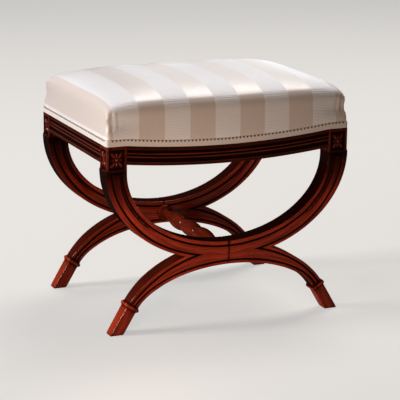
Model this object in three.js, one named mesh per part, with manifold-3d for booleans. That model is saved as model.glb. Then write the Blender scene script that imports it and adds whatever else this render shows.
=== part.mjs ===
// Stool on two X frames with a turned stretcher, reeded seat rails and a domed, stuffed-over seat.
// Millimetres, +X to the right along the front, +Y to the back, +Z up, origin on the floor under the middle.
import * as THREE from 'three';
import { mergeVertices } from 'three/addons/utils/BufferGeometryUtils.js';
import Module from 'manifold-3d';

// Driving dimensions of the whole stool
const stoolWidth = 560;
const stoolDepth = 405;
const railLineHeight = 411;
const hiddenRailHeight = 25;
const fitGap = 0.3;
const seamGap = 0.4;
const cutOverrun = 1;

// Corner blocks at the top of the frames
const blockWidth = 45;
const blockHeight = 55;
const blockBorder = 5;
const blockTopBorder = 6.8;
const recessDepth = 3;
const rosetteMargin = 0.8;
const rosetteHeight = 3.2;

// Upper arms: both edges are quarter ellipses
const frameThickness = 40.6;
const armSwell = 2;
const innerShoulder = 4;
const outerShoulder = 4;
const waistTopHeight = 184;
const armRootHeight = 145;
const edgeChamfer = 1;

// Legs: both edges are parts of ellipses; the legs get thinner from front to back towards the ankles
const archHeight = 132.8;
const archSpan = 216.3;
const archCentreHeight = 25.5;
const legTopHeight = 175.8;
const legTopSpan = 262.7;
const legTopCentreDepth = 34.5;
const legTaperLength = 62;

// Ankles, collars and feet
const ankleOut = 221.3;
const ankleHeight = 57.5;
const ankleTilt = THREE.MathUtils.degToRad(56);
const ankleWidth = 25;
const ankleDepth = 30.4;
const footReach = 270.5;
const footWidth = 30;
const footDepth = 27.5;
const stemInLeg = 6;
const stemInset = 1.2;
const footTopChamfer = 1;
const footChamfer = 2;
const collarThickness = 10;
const collarProjection = 3.8;

// Grooves cut along both edges of the frame faces
const beadWidth = 6.6;
const innerBeadExtra = 2;
const outerBeadExtra = 4.2;
const grooveWidth = 2.8;
const grooveFloorWidth = 1.5;
const grooveDepth = 2.2;

// Dowels across the waist seam
const dowelRadius = 4;
const dowelLength = 44;
const dowelInset = 9.5;
const dowelSpread = 12;

// Turned stretcher between the frames
const stretcherHeight = 159;
const stretcherTenonRadius = 9;
const stretcherTenonLength = 20;
const stretcherRadius = 18.4;

// Seat rails
const railThickness = 28;
const railSetback = 1.5;
const railShowHeight = 40.5;
const railReedDepth = 4;
const saddleDip = 14;
const tenonLength = 18;
const tenonThickness = 10;
const tenonFromInside = 9;
const tenonShoulder = 10;
const sideTenonLength = 14;

// Glued and screwed corner braces
const braceReachX = 46;
const braceReachY = 47;
const braceHeight = 36;
const braceTopDrop = 6;
const screwRadius = 2;
const screwHeadRadius = 4;
const screwHeadHeight = 2.2;
const screwLength = 38;
const screwSpread = 11;

// Webbing, tacks and hessian
const webWidth = 50;
const webThickness = 1.6;
const webWeave = 1;
const webEndInset = 9;
const tackRadius = 3.5;
const tackHeight = 1;
const tackSink = 0.3;
const tackSpread = 15;
const tackEndInset = 7;
const hessianThickness = 1;
const hessianInset = 6;

// Seat cover with its wadding, and the stuffing inside it
const coverSetIn = 0.4;
const coverThickness = 3.3;
const coverCornerRadius = 5;
const hiddenPostChamfer = 3;
const shoulderRise = 78;
const shoulderRound = 30;
const crownHeight = 35;
const crownPowerX = 7.5;
const crownPowerY = 4.4;
const sideBulge = 1.6;

// Gimp and nails round the lower edge of the cover
const gimpHeight = 14;
const gimpThickness = 1.2;
const nailRadius = 2;
const nailHeight = 1.5;
const nailSink = 0.3;
const nailPitch = 8.5;
const nailLineHeight = 12;
const nailCornerInset = 12;

// Cloth under the seat and its tacks
const bottomClothThickness = 0.8;
const bottomClothInset = 9;
const bottomTackPitch = 55;
const bottomTackInset = 6;

// Sizes worked out from those above
const halfWidth = stoolWidth / 2;
const halfDepth = stoolDepth / 2;
const innerFaceY = halfDepth - frameThickness;
const ankleSetback = (frameThickness - ankleDepth) / 2;
const frameMidY = halfDepth - frameThickness / 2;
const blockInnerX = halfWidth - blockWidth;
const blockBottom = railLineHeight - blockHeight;
const railTop = railLineHeight + hiddenRailHeight;
const coverHalfX = halfWidth - coverSetIn;
const coverHalfY = halfDepth - coverSetIn;
const hiddenX = coverHalfX - coverThickness - fitGap;
const hiddenY = coverHalfY - coverThickness - fitGap;
const railFaceX = halfWidth - railSetback;
const railFaceY = halfDepth - railSetback;
const railBottom = railLineHeight - railShowHeight;
const shoulderHeight = railLineHeight + shoulderRise;

const wasm = await Module();
wasm.setup();

// A closed geometry from corner points and triangles, turned so that its faces point out
function closedGeometry(points, triangles) {
  let volume = 0;
  const edgeA = new THREE.Vector3();
  for (const [a, b, c] of triangles) {
    volume += edgeA.crossVectors(points[a], points[b]).dot(points[c]);
  }
  const index = [];
  for (const [a, b, c] of triangles) {
    if (volume > 0) index.push(a, b, c);
    else index.push(a, c, b);
  }
  const geometry = new THREE.BufferGeometry();
  const positions = new Float32Array(points.length * 3);
  points.forEach((p, i) => p.toArray(positions, i * 3));
  geometry.setAttribute('position', new THREE.BufferAttribute(positions, 3));
  geometry.setIndex(index);
  return geometry;
}

// Skin a row of rings with equally many points; the ends are capped unless the row closes on itself
function loft(rings, closesOnItself = false, tip = null) {
  const count = rings[0].length;
  const points = rings.flat().map((p) => p.clone());
  const triangles = [];
  const rows = closesOnItself ? rings.length : rings.length - 1;
  for (let i = 0; i < rows; i += 1) {
    const next = (i + 1) % rings.length;
    for (let j = 0; j < count; j += 1) {
      const k = (j + 1) % count;
      triangles.push([i * count + j, i * count + k, next * count + k]);
      triangles.push([i * count + j, next * count + k, next * count + j]);
    }
  }
  if (!closesOnItself) {
    capRing(rings[0], 0, triangles, true);
    const last = (rings.length - 1) * count;
    if (tip) {
      points.push(tip.clone());
      for (let j = 0; j < count; j += 1) {
        triangles.push([last + j, last + ((j + 1) % count), points.length - 1]);
      }
    } else {
      capRing(rings[rings.length - 1], last, triangles, false);
    }
  }
  return closedGeometry(points, triangles);
}

// Triangles over a flat ring, seen along its own normal
function capRing(ring, first, triangles, reversed) {
  const normal = new THREE.Vector3();
  const cross = new THREE.Vector3();
  for (let i = 1; i < ring.length - 1; i += 1) {
    const a = ring[i].clone().sub(ring[0]);
    const b = ring[i + 1].clone().sub(ring[0]);
    normal.add(cross.crossVectors(a, b));
  }
  normal.normalize();
  const across = new THREE.Vector3(0, 0, 1);
  if (Math.abs(normal.z) > 0.9) across.set(1, 0, 0);
  across.addScaledVector(normal, -across.dot(normal)).normalize();
  const up = new THREE.Vector3().crossVectors(normal, across);
  const flat = ring.map((p) => new THREE.Vector2(p.dot(across), p.dot(up)));
  for (const [a, b, c] of THREE.ShapeUtils.triangulateShape(flat, [])) {
    if (reversed) triangles.push([first + a, first + c, first + b]);
    else triangles.push([first + a, first + b, first + c]);
  }
}

// Box between two corners
function boxBetween(low, high) {
  const geometry = new THREE.BoxGeometry(high[0] - low[0], high[1] - low[1], high[2] - low[2]);
  geometry.translate((low[0] + high[0]) / 2, (low[1] + high[1]) / 2, (low[2] + high[2]) / 2);
  return geometry;
}

// Cylinder from one point to another
function rod(from, to, radius, sides) {
  const direction = to.clone().sub(from);
  const geometry = new THREE.CylinderGeometry(radius, radius, direction.length(), sides);
  const turn = new THREE.Quaternion().setFromUnitVectors(new THREE.Vector3(0, 1, 0), direction.clone().normalize());
  geometry.applyQuaternion(turn);
  const middle = from.clone().add(to).multiplyScalar(1 / 2);
  geometry.translate(middle.x, middle.y, middle.z);
  return geometry;
}

// Mirror a geometry across the X and Y planes, keeping its faces outward
function mirrored(geometry, signX, signY) {
  const copy = geometry.clone();
  const position = copy.getAttribute('position');
  for (let i = 0; i < position.count; i += 1) {
    position.setX(i, position.getX(i) * signX);
    position.setY(i, position.getY(i) * signY);
  }
  if (signX * signY < 0) {
    const index = Array.from(copy.index.array);
    for (let i = 0; i < index.length; i += 3) {
      const swap = index[i + 1];
      index[i + 1] = index[i + 2];
      index[i + 2] = swap;
    }
    copy.setIndex(index);
  }
  return copy;
}

// Geometry with positions only and shared corners
function bare(geometry) {
  const copy = geometry.clone();
  copy.deleteAttribute('normal');
  copy.deleteAttribute('uv');
  return mergeVertices(copy, fitGap / 1000);
}

function toSolid(geometry) {
  const merged = bare(geometry);
  return new wasm.Manifold(new wasm.Mesh({
    numProp: 3,
    vertProperties: new Float32Array(merged.getAttribute('position').array),
    triVerts: new Uint32Array(merged.index.array),
  }));
}

function toGeometry(solid) {
  const mesh = solid.getMesh();
  const geometry = new THREE.BufferGeometry();
  geometry.setAttribute('position', new THREE.BufferAttribute(new Float32Array(mesh.vertProperties), 3));
  geometry.setIndex(Array.from(mesh.triVerts));
  return geometry;
}

function cut(geometry, tools) {
  let solid = toSolid(geometry);
  for (const tool of tools) solid = solid.subtract(toSolid(tool));
  return toGeometry(solid);
}

function joined(geometries) {
  let solid = toSolid(geometries[0]);
  for (const geometry of geometries.slice(1)) solid = solid.add(toSolid(geometry));
  return toGeometry(solid);
}

// The saddle of the front and back rails, straight between its stations
const saddleShares = [-1, -0.75, -0.5, -0.25, 0, 0.25, 0.5, 0.75, 1];

function saddleAt(x) {
  const share = Math.min(1, Math.abs(x) / blockInnerX);
  const steps = saddleShares.filter((value) => value >= 0);
  for (let i = 1; i < steps.length; i += 1) {
    if (share <= steps[i]) {
      const along = (share - steps[i - 1]) / (steps[i] - steps[i - 1]);
      const before = 1 - steps[i - 1] ** 2;
      const after = 1 - steps[i] ** 2;
      return saddleDip * (before + (after - before) * along);
    }
  }
  return 0;
}

// Edges of one frame half in its own plane, as rows of points from the seam or crotch outward
const armInnerCentre = blockBottom - innerShoulder;
const armOuterCentre = blockBottom + outerShoulder;
const armOuterSpan = halfWidth + armSwell;

function ellipsePoint(span, rise, centre, up, angle) {
  return new THREE.Vector2(span * Math.sin(angle), centre + (up ? rise : -rise) * Math.cos(angle));
}

const armInner = (angle) => ellipsePoint(blockInnerX, armInnerCentre - waistTopHeight, armInnerCentre, false, angle);
const armOuter = (angle) => ellipsePoint(armOuterSpan, armOuterCentre - armRootHeight, armOuterCentre, false, angle);
const legTop = (angle) => ellipsePoint(legTopSpan, legTopHeight + legTopCentreDepth, -legTopCentreDepth, true, angle);
const legArch = (angle) => ellipsePoint(archSpan, archHeight - archCentreHeight, archCentreHeight, true, angle);

// Halve the range of an angle until a value that grows with it passes zero
function solveAngle(value, low, high) {
  let a = low;
  let b = high;
  for (let i = 0; i < 60; i += 1) {
    const middle = (a + b) / 2;
    if (value(middle) < 0) a = middle;
    else b = middle;
  }
  return (a + b) / 2;
}

function curveRow(curve, from, to, steps) {
  const row = [];
  for (let i = 0; i <= steps; i += 1) row.push(curve(from + ((to - from) * i) / steps));
  return row;
}

const quarter = Math.PI / 2;
const anklePoint = new THREE.Vector2(ankleOut, ankleHeight);
const ankleAxis = new THREE.Vector2(Math.cos(ankleTilt), -Math.sin(ankleTilt));
const ankleAcross = new THREE.Vector2(Math.sin(ankleTilt), Math.cos(ankleTilt));
const pastAnkle = (point) => point.clone().sub(anklePoint).dot(ankleAxis);

// The leg ends just above the collar; only the foot's narrower stem runs through it
const legEnd = -collarThickness / 2 - fitGap;

// How far the faces of a leg stand back from the faces of the frame
function taperAt(point) {
  const share = (pastAnkle(point) + legTaperLength) / (legTaperLength + legEnd);
  return ankleSetback * Math.min(1, Math.max(0, share));
}

const seamX = seamGap / 2;
const innerSeamAngle = Math.asin(seamX / blockInnerX);
const archSeamAngle = Math.asin(seamX / archSpan);
const legTopEndAngle = solveAngle((angle) => pastAnkle(legTop(angle)) - legEnd, 0, quarter);
const archEndAngle = solveAngle((angle) => pastAnkle(legArch(angle)) - legEnd, 0, quarter);

// The crotch lies where the outer edge of the arm crosses the top edge of the leg
const legTopAt = (x) => legTop(Math.asin(x / legTopSpan)).y;
const crotchArmAngle = solveAngle((angle) => {
  const point = armOuter(angle);
  return point.y - legTopAt(point.x);
}, 0, quarter);
const crotchPoint = armOuter(crotchArmAngle);
const crotchLegAngle = Math.asin(crotchPoint.x / legTopSpan);

const armInnerRow = curveRow(armInner, innerSeamAngle, quarter, 14);
const armOuterRow = curveRow(armOuter, crotchArmAngle, quarter, 11);
const legTopRow = curveRow(legTop, crotchLegAngle, legTopEndAngle, 6);
const legArchRow = curveRow(legArch, archSeamAngle, archEndAngle, 10);

// Row of points moved sideways by a distance; positive is to the left of its direction.
// A second distance is added by a share that grows smoothly along the row
function offsetRow(row, distance, added = 0) {
  return row.map((point, i) => {
    const share = THREE.MathUtils.smoothstep(i / (row.length - 1), 0.2, 0.65);
    const moved = distance + added * share;
    const before = row[Math.max(0, i - 1)];
    const after = row[Math.min(row.length - 1, i + 1)];
    const direction = after.clone().sub(before).normalize();
    return new THREE.Vector2(point.x - direction.y * moved, point.y + direction.x * moved);
  });
}

// Keep the part of a rising row that lies under a height, with its end exactly there
function clipUnder(row, height) {
  const kept = [];
  for (let i = 0; i < row.length; i += 1) {
    if (row[i].y < height) {
      kept.push(row[i]);
    } else {
      const share = (height - row[i - 1].y) / (row[i].y - row[i - 1].y);
      kept.push(row[i - 1].clone().lerp(row[i], share));
      break;
    }
  }
  return kept;
}

// Where two rows cross: the point and what is left of each row after it
function rowsAfterCrossing(rowA, rowB) {
  for (let i = 0; i < rowA.length - 1; i += 1) {
    for (let j = 0; j < rowB.length - 1; j += 1) {
      const a = rowA[i + 1].clone().sub(rowA[i]);
      const b = rowB[j + 1].clone().sub(rowB[j]);
      const gap = rowB[j].clone().sub(rowA[i]);
      const turn = a.x * b.y - a.y * b.x;
      const shareA = (gap.x * b.y - gap.y * b.x) / turn;
      const shareB = (gap.x * a.y - gap.y * a.x) / turn;
      if (shareA >= 0 && shareA <= 1 && shareB >= 0 && shareB <= 1) {
        const crossing = rowA[i].clone().addScaledVector(a, shareA);
        return [crossing, rowA.slice(i + 1), rowB.slice(j + 1)];
      }
    }
  }
  return [rowA[0], rowA.slice(1), rowB.slice(1)];
}

// A groove cutter that follows a row of points on a face at faceY, cutting towards inwardY
function grooveCutter(row, faceY, inwardY) {
  const halfFace = grooveWidth / 2;
  const halfFloor = grooveFloorWidth / 2;
  const rings = row.map((point, i) => {
    const before = point.clone().sub(row[Math.max(0, i - 1)]);
    const after = row[Math.min(row.length - 1, i + 1)].clone().sub(point);
    if (i === 0) before.copy(after);
    if (i === row.length - 1) after.copy(before);
    before.normalize();
    after.normalize();
    const along = before.clone().add(after).normalize();
    const mitre = Math.min(4, 1 / Math.max(0.1, along.dot(before)));
    const side = new THREE.Vector2(-along.y, along.x).multiplyScalar(mitre);
    const corner = (across, y) => new THREE.Vector3(point.x + side.x * across, y, point.y + side.y * across);
    const localY = faceY + inwardY * taperAt(point);
    const outY = localY - inwardY * cutOverrun;
    const floorY = localY + inwardY * grooveDepth;
    return [corner(-halfFace, outY), corner(halfFace, outY), corner(halfFloor, floorY), corner(-halfFloor, floorY)];
  });
  return loft(rings);
}

// A row with one more point just past its end
function runOn(row) {
  const last = row[row.length - 1];
  const direction = last.clone().sub(row[row.length - 2]).normalize();
  return [...row, last.clone().addScaledVector(direction, cutOverrun)];
}

// The rows that the grooves follow
const grooveOffset = beadWidth + grooveWidth / 2;
const innerGrooveRow = offsetRow(
  [...armInnerRow, new THREE.Vector2(blockInnerX, blockBottom)],
  -grooveOffset - innerBeadExtra,
);
const outerGrooveRow = offsetRow(armOuterRow, grooveOffset, outerBeadExtra);
const legTopGrooveRow = runOn(offsetRow(legTopRow, -grooveOffset));
const archGrooveRow = runOn(offsetRow(legArchRow, grooveOffset));
const crotchBack = beadWidth * 4;
// Both rows run on straight past the crotch, so that their offsets meet in a V
function runBack(row) {
  const direction = row[0].clone().sub(row[1]).normalize();
  return [row[0].clone().addScaledVector(direction, crotchBack), ...row];
}
const [vPoint, outerAfterV, legAfterV] = rowsAfterCrossing(runBack(outerGrooveRow), runBack(legTopGrooveRow));
const grooveTopHeight = blockBottom - grooveWidth;
const innerGrooveUp = clipUnder(innerGrooveRow, grooveTopHeight);
const outerGrooveUp = clipUnder([vPoint, ...outerAfterV], grooveTopHeight);
const seamStart = (row) => new THREE.Vector2(row[0].x - seamGap - cutOverrun, row[0].y);
const panelGroove = [
  seamStart(innerGrooveUp),
  ...innerGrooveUp,
  ...outerGrooveUp.slice().reverse(),
  ...legAfterV,
];
const archGroove = [seamStart(archGrooveRow), ...archGrooveRow];

// One half of a frame, the front right one; the others are its mirror images
function frameHalf() {
  const outline = [
    ...armInnerRow,
    new THREE.Vector2(blockInnerX, railLineHeight),
    new THREE.Vector2(halfWidth, railLineHeight),
    new THREE.Vector2(halfWidth, armOuterCentre + armSwell),
    ...armOuterRow.slice().reverse(),
    ...legTopRow.slice(1),
    ...legArchRow.slice().reverse(),
  ];
  const plate = new THREE.ExtrudeGeometry(new THREE.Shape(outline), {
    depth: frameThickness - 2 * edgeChamfer,
    bevelEnabled: true,
    bevelThickness: edgeChamfer,
    bevelSize: edgeChamfer,
    bevelOffset: -edgeChamfer,
    bevelSegments: 1,
    curveSegments: 1,
  });
  plate.rotateX(quarter);
  plate.translate(0, -innerFaceY - edgeChamfer, 0);

  const tapered = cut(plate, [legWedge(-halfDepth, 1), legWedge(-innerFaceY, -1)]);
  const body = joined([tapered, hiddenPost(), footLoft()]);
  const recessTop = railLineHeight - blockTopBorder;
  const recessBottom = blockBottom + blockBorder;
  const railSlotLow = railTop - tenonShoulder - tenonHeight();
  const railSlotHigh = railTop - tenonShoulder;
  const slotY = railFaceY - railThickness + tenonFromInside;
  const slotX = railFaceX - railThickness + tenonFromInside;
  const reach = new THREE.Vector3(0, -frameMidY, 0);
  const holes = dowelPlaces().map((place) => rod(
    place.clone().setX(-cutOverrun),
    place.clone().setX(dowelLength / 2 + fitGap),
    dowelRadius + fitGap,
    12,
  ));
  return cut(body, [
    grooveCutter(panelGroove, -halfDepth, 1),
    grooveCutter(archGroove, -halfDepth, 1),
    grooveCutter(panelGroove, -innerFaceY, -1),
    grooveCutter(archGroove, -innerFaceY, -1),
    boxBetween(
      [blockInnerX + blockBorder, -halfDepth - cutOverrun, recessBottom],
      [halfWidth - blockBorder, -halfDepth + recessDepth, recessTop],
    ),
    boxBetween(
      [halfWidth - recessDepth, -halfDepth + blockBorder, recessBottom],
      [halfWidth + cutOverrun, -innerFaceY - blockBorder, recessTop],
    ),
    boxBetween(
      [blockInnerX - cutOverrun, -slotY - tenonThickness - fitGap, railSlotLow - fitGap],
      [blockInnerX + tenonLength + fitGap, -slotY + fitGap, railSlotHigh + fitGap],
    ),
    boxBetween(
      [slotX - fitGap, -innerFaceY - sideTenonLength - fitGap, railSlotLow - fitGap],
      [slotX + tenonThickness + fitGap, -innerFaceY + cutOverrun, railSlotHigh + fitGap],
    ),
    rod(
      new THREE.Vector3(0, -innerFaceY - stretcherTenonLength - fitGap, stretcherHeight),
      reach.clone().set(0, -innerFaceY + cutOverrun, stretcherHeight),
      stretcherTenonRadius + fitGap,
      20,
    ),
    ...holes,
    ...screwPlaces().map(([from, to]) => rod(from, to, screwRadius + fitGap, 8)),
  ]);
}

// The top of the corner block that the cover wraps round, with its outer corner taken off
function hiddenPost() {
  const low = railLineHeight - cutOverrun;
  const plan = [
    [blockInnerX, -innerFaceY],
    [blockInnerX, -hiddenY],
    [hiddenX - hiddenPostChamfer, -hiddenY],
    [hiddenX, -hiddenY + hiddenPostChamfer],
    [hiddenX, -innerFaceY],
  ];
  return loft([low, railTop].map((z) => plan.map(([x, y]) => new THREE.Vector3(x, y, z))));
}

// What comes off one face of a leg so that it gets thinner towards the ankle
function legWedge(faceY, inwardY) {
  const reach = ankleWidth * 2;
  const outline = [
    [-legTaperLength, 0],
    [legEnd, ankleSetback],
    [ankleWidth, ankleSetback],
    [ankleWidth, -cutOverrun],
    [-legTaperLength, -cutOverrun],
  ];
  return loft([-reach, reach].map((across) => outline.map(([along, inward]) => {
    const middle = anklePoint.clone().addScaledVector(ankleAxis, along).addScaledVector(ankleAcross, across);
    return new THREE.Vector3(middle.x, faceY + inwardY * inward, middle.y);
  })));
}

// The foot: an eight-cornered stem through the collar that goes on down to a level sole
function footLoft() {
  const half = ankleDepth / 2;
  const collarTop = -collarThickness / 2;
  const stem = [
    [collarTop - stemInLeg, stemInset],
    [collarTop, stemInset],
    [collarTop + stemInset, 0],
    [-collarTop, 0],
  ];
  const soleMiddle = footReach - footWidth / 2;
  const section = (middleX, middleZ, acrossX, acrossZ, halfWide, halfDeep, chamfer) => [
    [-halfWide, -halfDeep + chamfer],
    [-halfWide + chamfer, -halfDeep],
    [halfWide - chamfer, -halfDeep],
    [halfWide, -halfDeep + chamfer],
    [halfWide, halfDeep - chamfer],
    [halfWide - chamfer, halfDeep],
    [-halfWide + chamfer, halfDeep],
    [-halfWide, halfDeep - chamfer],
  ].map(([across, deep]) => new THREE.Vector3(middleX + acrossX * across, deep - frameMidY, middleZ + acrossZ * across));
  return loft([
    ...stem.map(([along, inset]) => {
      const { x, y } = anklePoint.clone().addScaledVector(ankleAxis, along);
      return section(x, y, ankleAcross.x, ankleAcross.y, ankleWidth / 2 - inset, half - inset, footTopChamfer);
    }),
    section(soleMiddle, 0, 1, 0, footWidth / 2, footDepth / 2, footChamfer),
  ]);
}

// The collar: a moulding that closes round the ankle
function footCollar() {
  const innerWide = ankleWidth / 2 + fitGap;
  const innerDeep = ankleDepth / 2 + fitGap;
  const half = collarThickness / 2;
  const ring = (outBy, along) => [[-1, -1], [1, -1], [1, 1], [-1, 1]].map(([signWide, signDeep]) => {
    const middle = anklePoint.clone().addScaledVector(ankleAxis, along);
    const across = signWide * (innerWide + outBy);
    return new THREE.Vector3(
      middle.x + ankleAcross.x * across,
      signDeep * (innerDeep + outBy) - frameMidY,
      middle.y + ankleAcross.y * across,
    );
  });
  const roundShare = 0.45;
  return loft([
    ring(0, -half),
    ring(collarProjection - half * roundShare, -half),
    ring(collarProjection, -half + half * roundShare),
    ring(collarProjection, half - half * roundShare),
    ring(collarProjection - half * roundShare, half),
    ring(0, half),
  ], true);
}

function tenonHeight() {
  return railTop - railBottom - 2 * tenonShoulder;
}

// Dowels lie across the seam, in the outer half of the frame's thickness
function dowelPlaces() {
  return [-1, 1].map((sign) => new THREE.Vector3(
    0,
    -halfDepth + dowelInset,
    (waistTopHeight + archHeight) / 2 + sign * dowelSpread,
  ));
}

function centreDowel(place) {
  const half = dowelLength / 2;
  return rod(place.clone().setX(-half), place.clone().setX(half), dowelRadius, 12);
}

// Carved patera: eight leaves round a raised boss, filling a sunk field of the block
function rosette(fieldWide, fieldHigh) {
  const steps = 16;
  const halfWide = fieldWide / 2 - rosetteMargin;
  const halfHigh = fieldHigh / 2 - rosetteMargin;
  // Each row: radius at a leaf, radius at a valley, height at a leaf, height at a valley
  const rowShares = [
    [1, 0.8, 0, 0],
    [1, 0.8, 0.35, 0.25],
    [0.62, 0.5, 0.95, 0.35],
    [0.3, 0.27, 0.45, 0.4],
    [0.2, 0.2, 0.95, 0.95],
  ];
  const ring = ([leafRadius, valleyRadius, leafHeight, valleyHeight]) => {
    const points = [];
    for (let i = 0; i < steps; i += 1) {
      const angle = (i / steps) * 2 * Math.PI;
      const leaf = i % 2 === 0;
      const radius = leaf ? leafRadius : valleyRadius;
      const height = leaf ? leafHeight : valleyHeight;
      // The leaves reach well into the corners of the oblong field
      const spread = (Math.cos(angle) ** 4 + Math.sin(angle) ** 4) ** (-1 / 4);
      points.push(new THREE.Vector3(
        Math.cos(angle) * spread * radius * halfWide,
        -height * rosetteHeight,
        Math.sin(angle) * spread * radius * halfHigh,
      ));
    }
    return points;
  };
  return loft(rowShares.map(ring), false, new THREE.Vector3(0, -rosetteHeight, 0));
}

const fieldHigh = blockHeight - blockTopBorder - blockBorder;
const fieldMiddleZ = blockBottom + blockBorder + fieldHigh / 2;

function frontRosette() {
  const geometry = rosette(blockWidth - 2 * blockBorder, fieldHigh);
  geometry.translate(halfWidth - blockWidth / 2, -halfDepth + recessDepth - fitGap, fieldMiddleZ);
  return geometry;
}

function sideRosette() {
  const geometry = rosette(frameThickness - 2 * blockBorder, fieldHigh);
  geometry.rotateZ(quarter);
  geometry.translate(halfWidth - recessDepth + fitGap, -frameMidY, fieldMiddleZ);
  return geometry;
}

// Section of a seat rail: how far out of its inner face, and how high above its lower edge
const reedShares = [
  [0, 0], [0.19, 0], [0.2, 1], [0.31, 1], [0.33, 0.65], [0.36, 0.25], [0.4, 0.1], [0.44, 0.25],
  [0.47, 0.65], [0.485, 0.85], [0.5, 0.65], [0.53, 0.25], [0.57, 0.1], [0.61, 0.25], [0.64, 0.65],
  [0.66, 1], [0.74, 1], [0.76, 0.65], [0.79, 0.2], [0.84, 0], [0.93, 0], [1, 0.2],
];

function railSection(face, hiddenFace) {
  const show = reedShares.map(([down, deep]) => [face - deep * railReedDepth, railShowHeight * (1 - down), 1]);
  const inner = face - railThickness;
  return [
    [inner, 0, 1],
    [inner, railTop - railBottom, 0],
    [hiddenFace, railTop - railBottom, 0],
    [hiddenFace, railShowHeight, 1],
    ...show,
  ];
}

// The front rail follows the saddle; its top under the cover stays level
function frontRail() {
  const end = blockInnerX - fitGap;
  const section = railSection(railFaceY, hiddenY);
  const rings = saddleShares.map((share) => {
    const x = Math.abs(share) === 1 ? Math.sign(share) * end : share * blockInnerX;
    return section.map(([out, high, follows]) => new THREE.Vector3(
      x,
      -out,
      railBottom + high - follows * saddleAt(x),
    ));
  });
  const tenon = boxBetween(
    [-blockInnerX - tenonLength, -railFaceY + railThickness - tenonFromInside - tenonThickness,
      railTop - tenonShoulder - tenonHeight()],
    [blockInnerX + tenonLength, -railFaceY + railThickness - tenonFromInside, railTop - tenonShoulder],
  );
  return joined([loft(rings), tenon]);
}

function sideRail() {
  const end = innerFaceY - fitGap;
  const section = railSection(railFaceX, hiddenX);
  const rings = [-end, end].map((y) => section.map(([out, high]) => new THREE.Vector3(out, y, railBottom + high)));
  const tenon = boxBetween(
    [railFaceX - railThickness + tenonFromInside, -innerFaceY - sideTenonLength,
      railTop - tenonShoulder - tenonHeight()],
    [railFaceX - railThickness + tenonFromInside + tenonThickness, innerFaceY + sideTenonLength,
      railTop - tenonShoulder],
  );
  return joined([loft(rings), tenon]);
}

// Turned stretcher: shares of the half length from the middle, and of the largest radius
const turningShares = [
  [0, 0.98], [0.08, 0.96], [0.155, 0.88], [0.2, 0.78], [0.222, 0.68], [0.245, 0.78], [0.3, 0.92],
  [0.37, 0.99], [0.44, 1], [0.53, 0.93], [0.61, 0.81], [0.69, 0.67], [0.78, 0.55], [0.86, 0.5],
  [0.905, 0.55], [0.93, 0.66], [0.945, 0.93], [0.965, 1], [0.985, 0.96],
];

function stretcher() {
  const end = innerFaceY - fitGap;
  const half = [
    ...turningShares.map(([along, wide]) => new THREE.Vector2(wide * stretcherRadius, along * end)),
    new THREE.Vector2(stretcherTenonRadius + stretcherTenonRadius / 2, end),
    new THREE.Vector2(stretcherTenonRadius, end),
    new THREE.Vector2(stretcherTenonRadius, end + stretcherTenonLength),
    new THREE.Vector2(0, end + stretcherTenonLength),
  ];
  const other = half.slice(1).map((point) => new THREE.Vector2(point.x, -point.y)).reverse();
  const geometry = new THREE.LatheGeometry([...other, ...half], 16);
  geometry.translate(0, 0, stretcherHeight);
  return geometry;
}

// Corner brace: a block across the inside of the corner, notched round the frame's block
const braceInnerX = railFaceX - railThickness - fitGap;
const braceInnerY = railFaceY - railThickness - fitGap;
const braceFaceA = new THREE.Vector2(blockInnerX - braceReachX, -braceInnerY);
const braceFaceB = new THREE.Vector2(braceInnerX, -innerFaceY + braceReachY);
const braceTop = railTop - braceTopDrop;

function screwPlaces() {
  const middle = braceFaceA.clone().add(braceFaceB).multiplyScalar(1 / 2);
  const corner = new THREE.Vector2(blockInnerX, -innerFaceY);
  const direction = corner.clone().sub(middle).normalize();
  return [-1, 1].map((sign) => {
    const z = braceTop - braceHeight / 2 + sign * screwSpread;
    const from = middle.clone().addScaledVector(direction, -screwHeadHeight * 4);
    const to = middle.clone().addScaledVector(direction, screwLength);
    return [new THREE.Vector3(from.x, from.y, z), new THREE.Vector3(to.x, to.y, z)];
  });
}

function cornerBrace() {
  const plan = [
    [braceFaceA.x, braceFaceA.y],
    [blockInnerX - fitGap, -braceInnerY],
    [blockInnerX - fitGap, -innerFaceY + fitGap],
    [braceInnerX, -innerFaceY + fitGap],
    [braceFaceB.x, braceFaceB.y],
  ];
  const block = loft([braceTop - braceHeight, braceTop].map((z) => plan.map(([x, y]) => new THREE.Vector3(x, y, z))));
  return cut(block, screwPlaces().map(([from, to]) => rod(from, to, screwRadius + fitGap, 8)));
}

function braceScrews() {
  const face = braceFaceB.clone().sub(braceFaceA).normalize();
  const normal = new THREE.Vector3(-face.y, face.x, 0);
  const middle = braceFaceA.clone().add(braceFaceB).multiplyScalar(1 / 2);
  return screwPlaces().map(([from, to]) => {
    const along = to.clone().sub(from).normalize();
    const seat = new THREE.Vector3(middle.x, middle.y, from.z);
    const lean = Math.abs(along.dot(normal));
    const clear = (fitGap + screwHeadRadius * Math.sqrt(Math.max(0, 1 - lean ** 2))) / lean;
    const shank = seat.distanceTo(to) - fitGap;
    const profile = [
      new THREE.Vector2(0, -clear - screwHeadHeight),
      new THREE.Vector2(screwHeadRadius - screwHeadHeight / 2, -clear - screwHeadHeight),
      new THREE.Vector2(screwHeadRadius, -clear),
      new THREE.Vector2(screwRadius, -clear),
      new THREE.Vector2(screwRadius, shank),
      new THREE.Vector2(0, shank),
    ];
    const screw = new THREE.LatheGeometry(profile, 8);
    screw.applyQuaternion(new THREE.Quaternion().setFromUnitVectors(new THREE.Vector3(0, 1, 0), along));
    screw.translate(seat.x, seat.y, seat.z);
    return bare(screw);
  });
}

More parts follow.
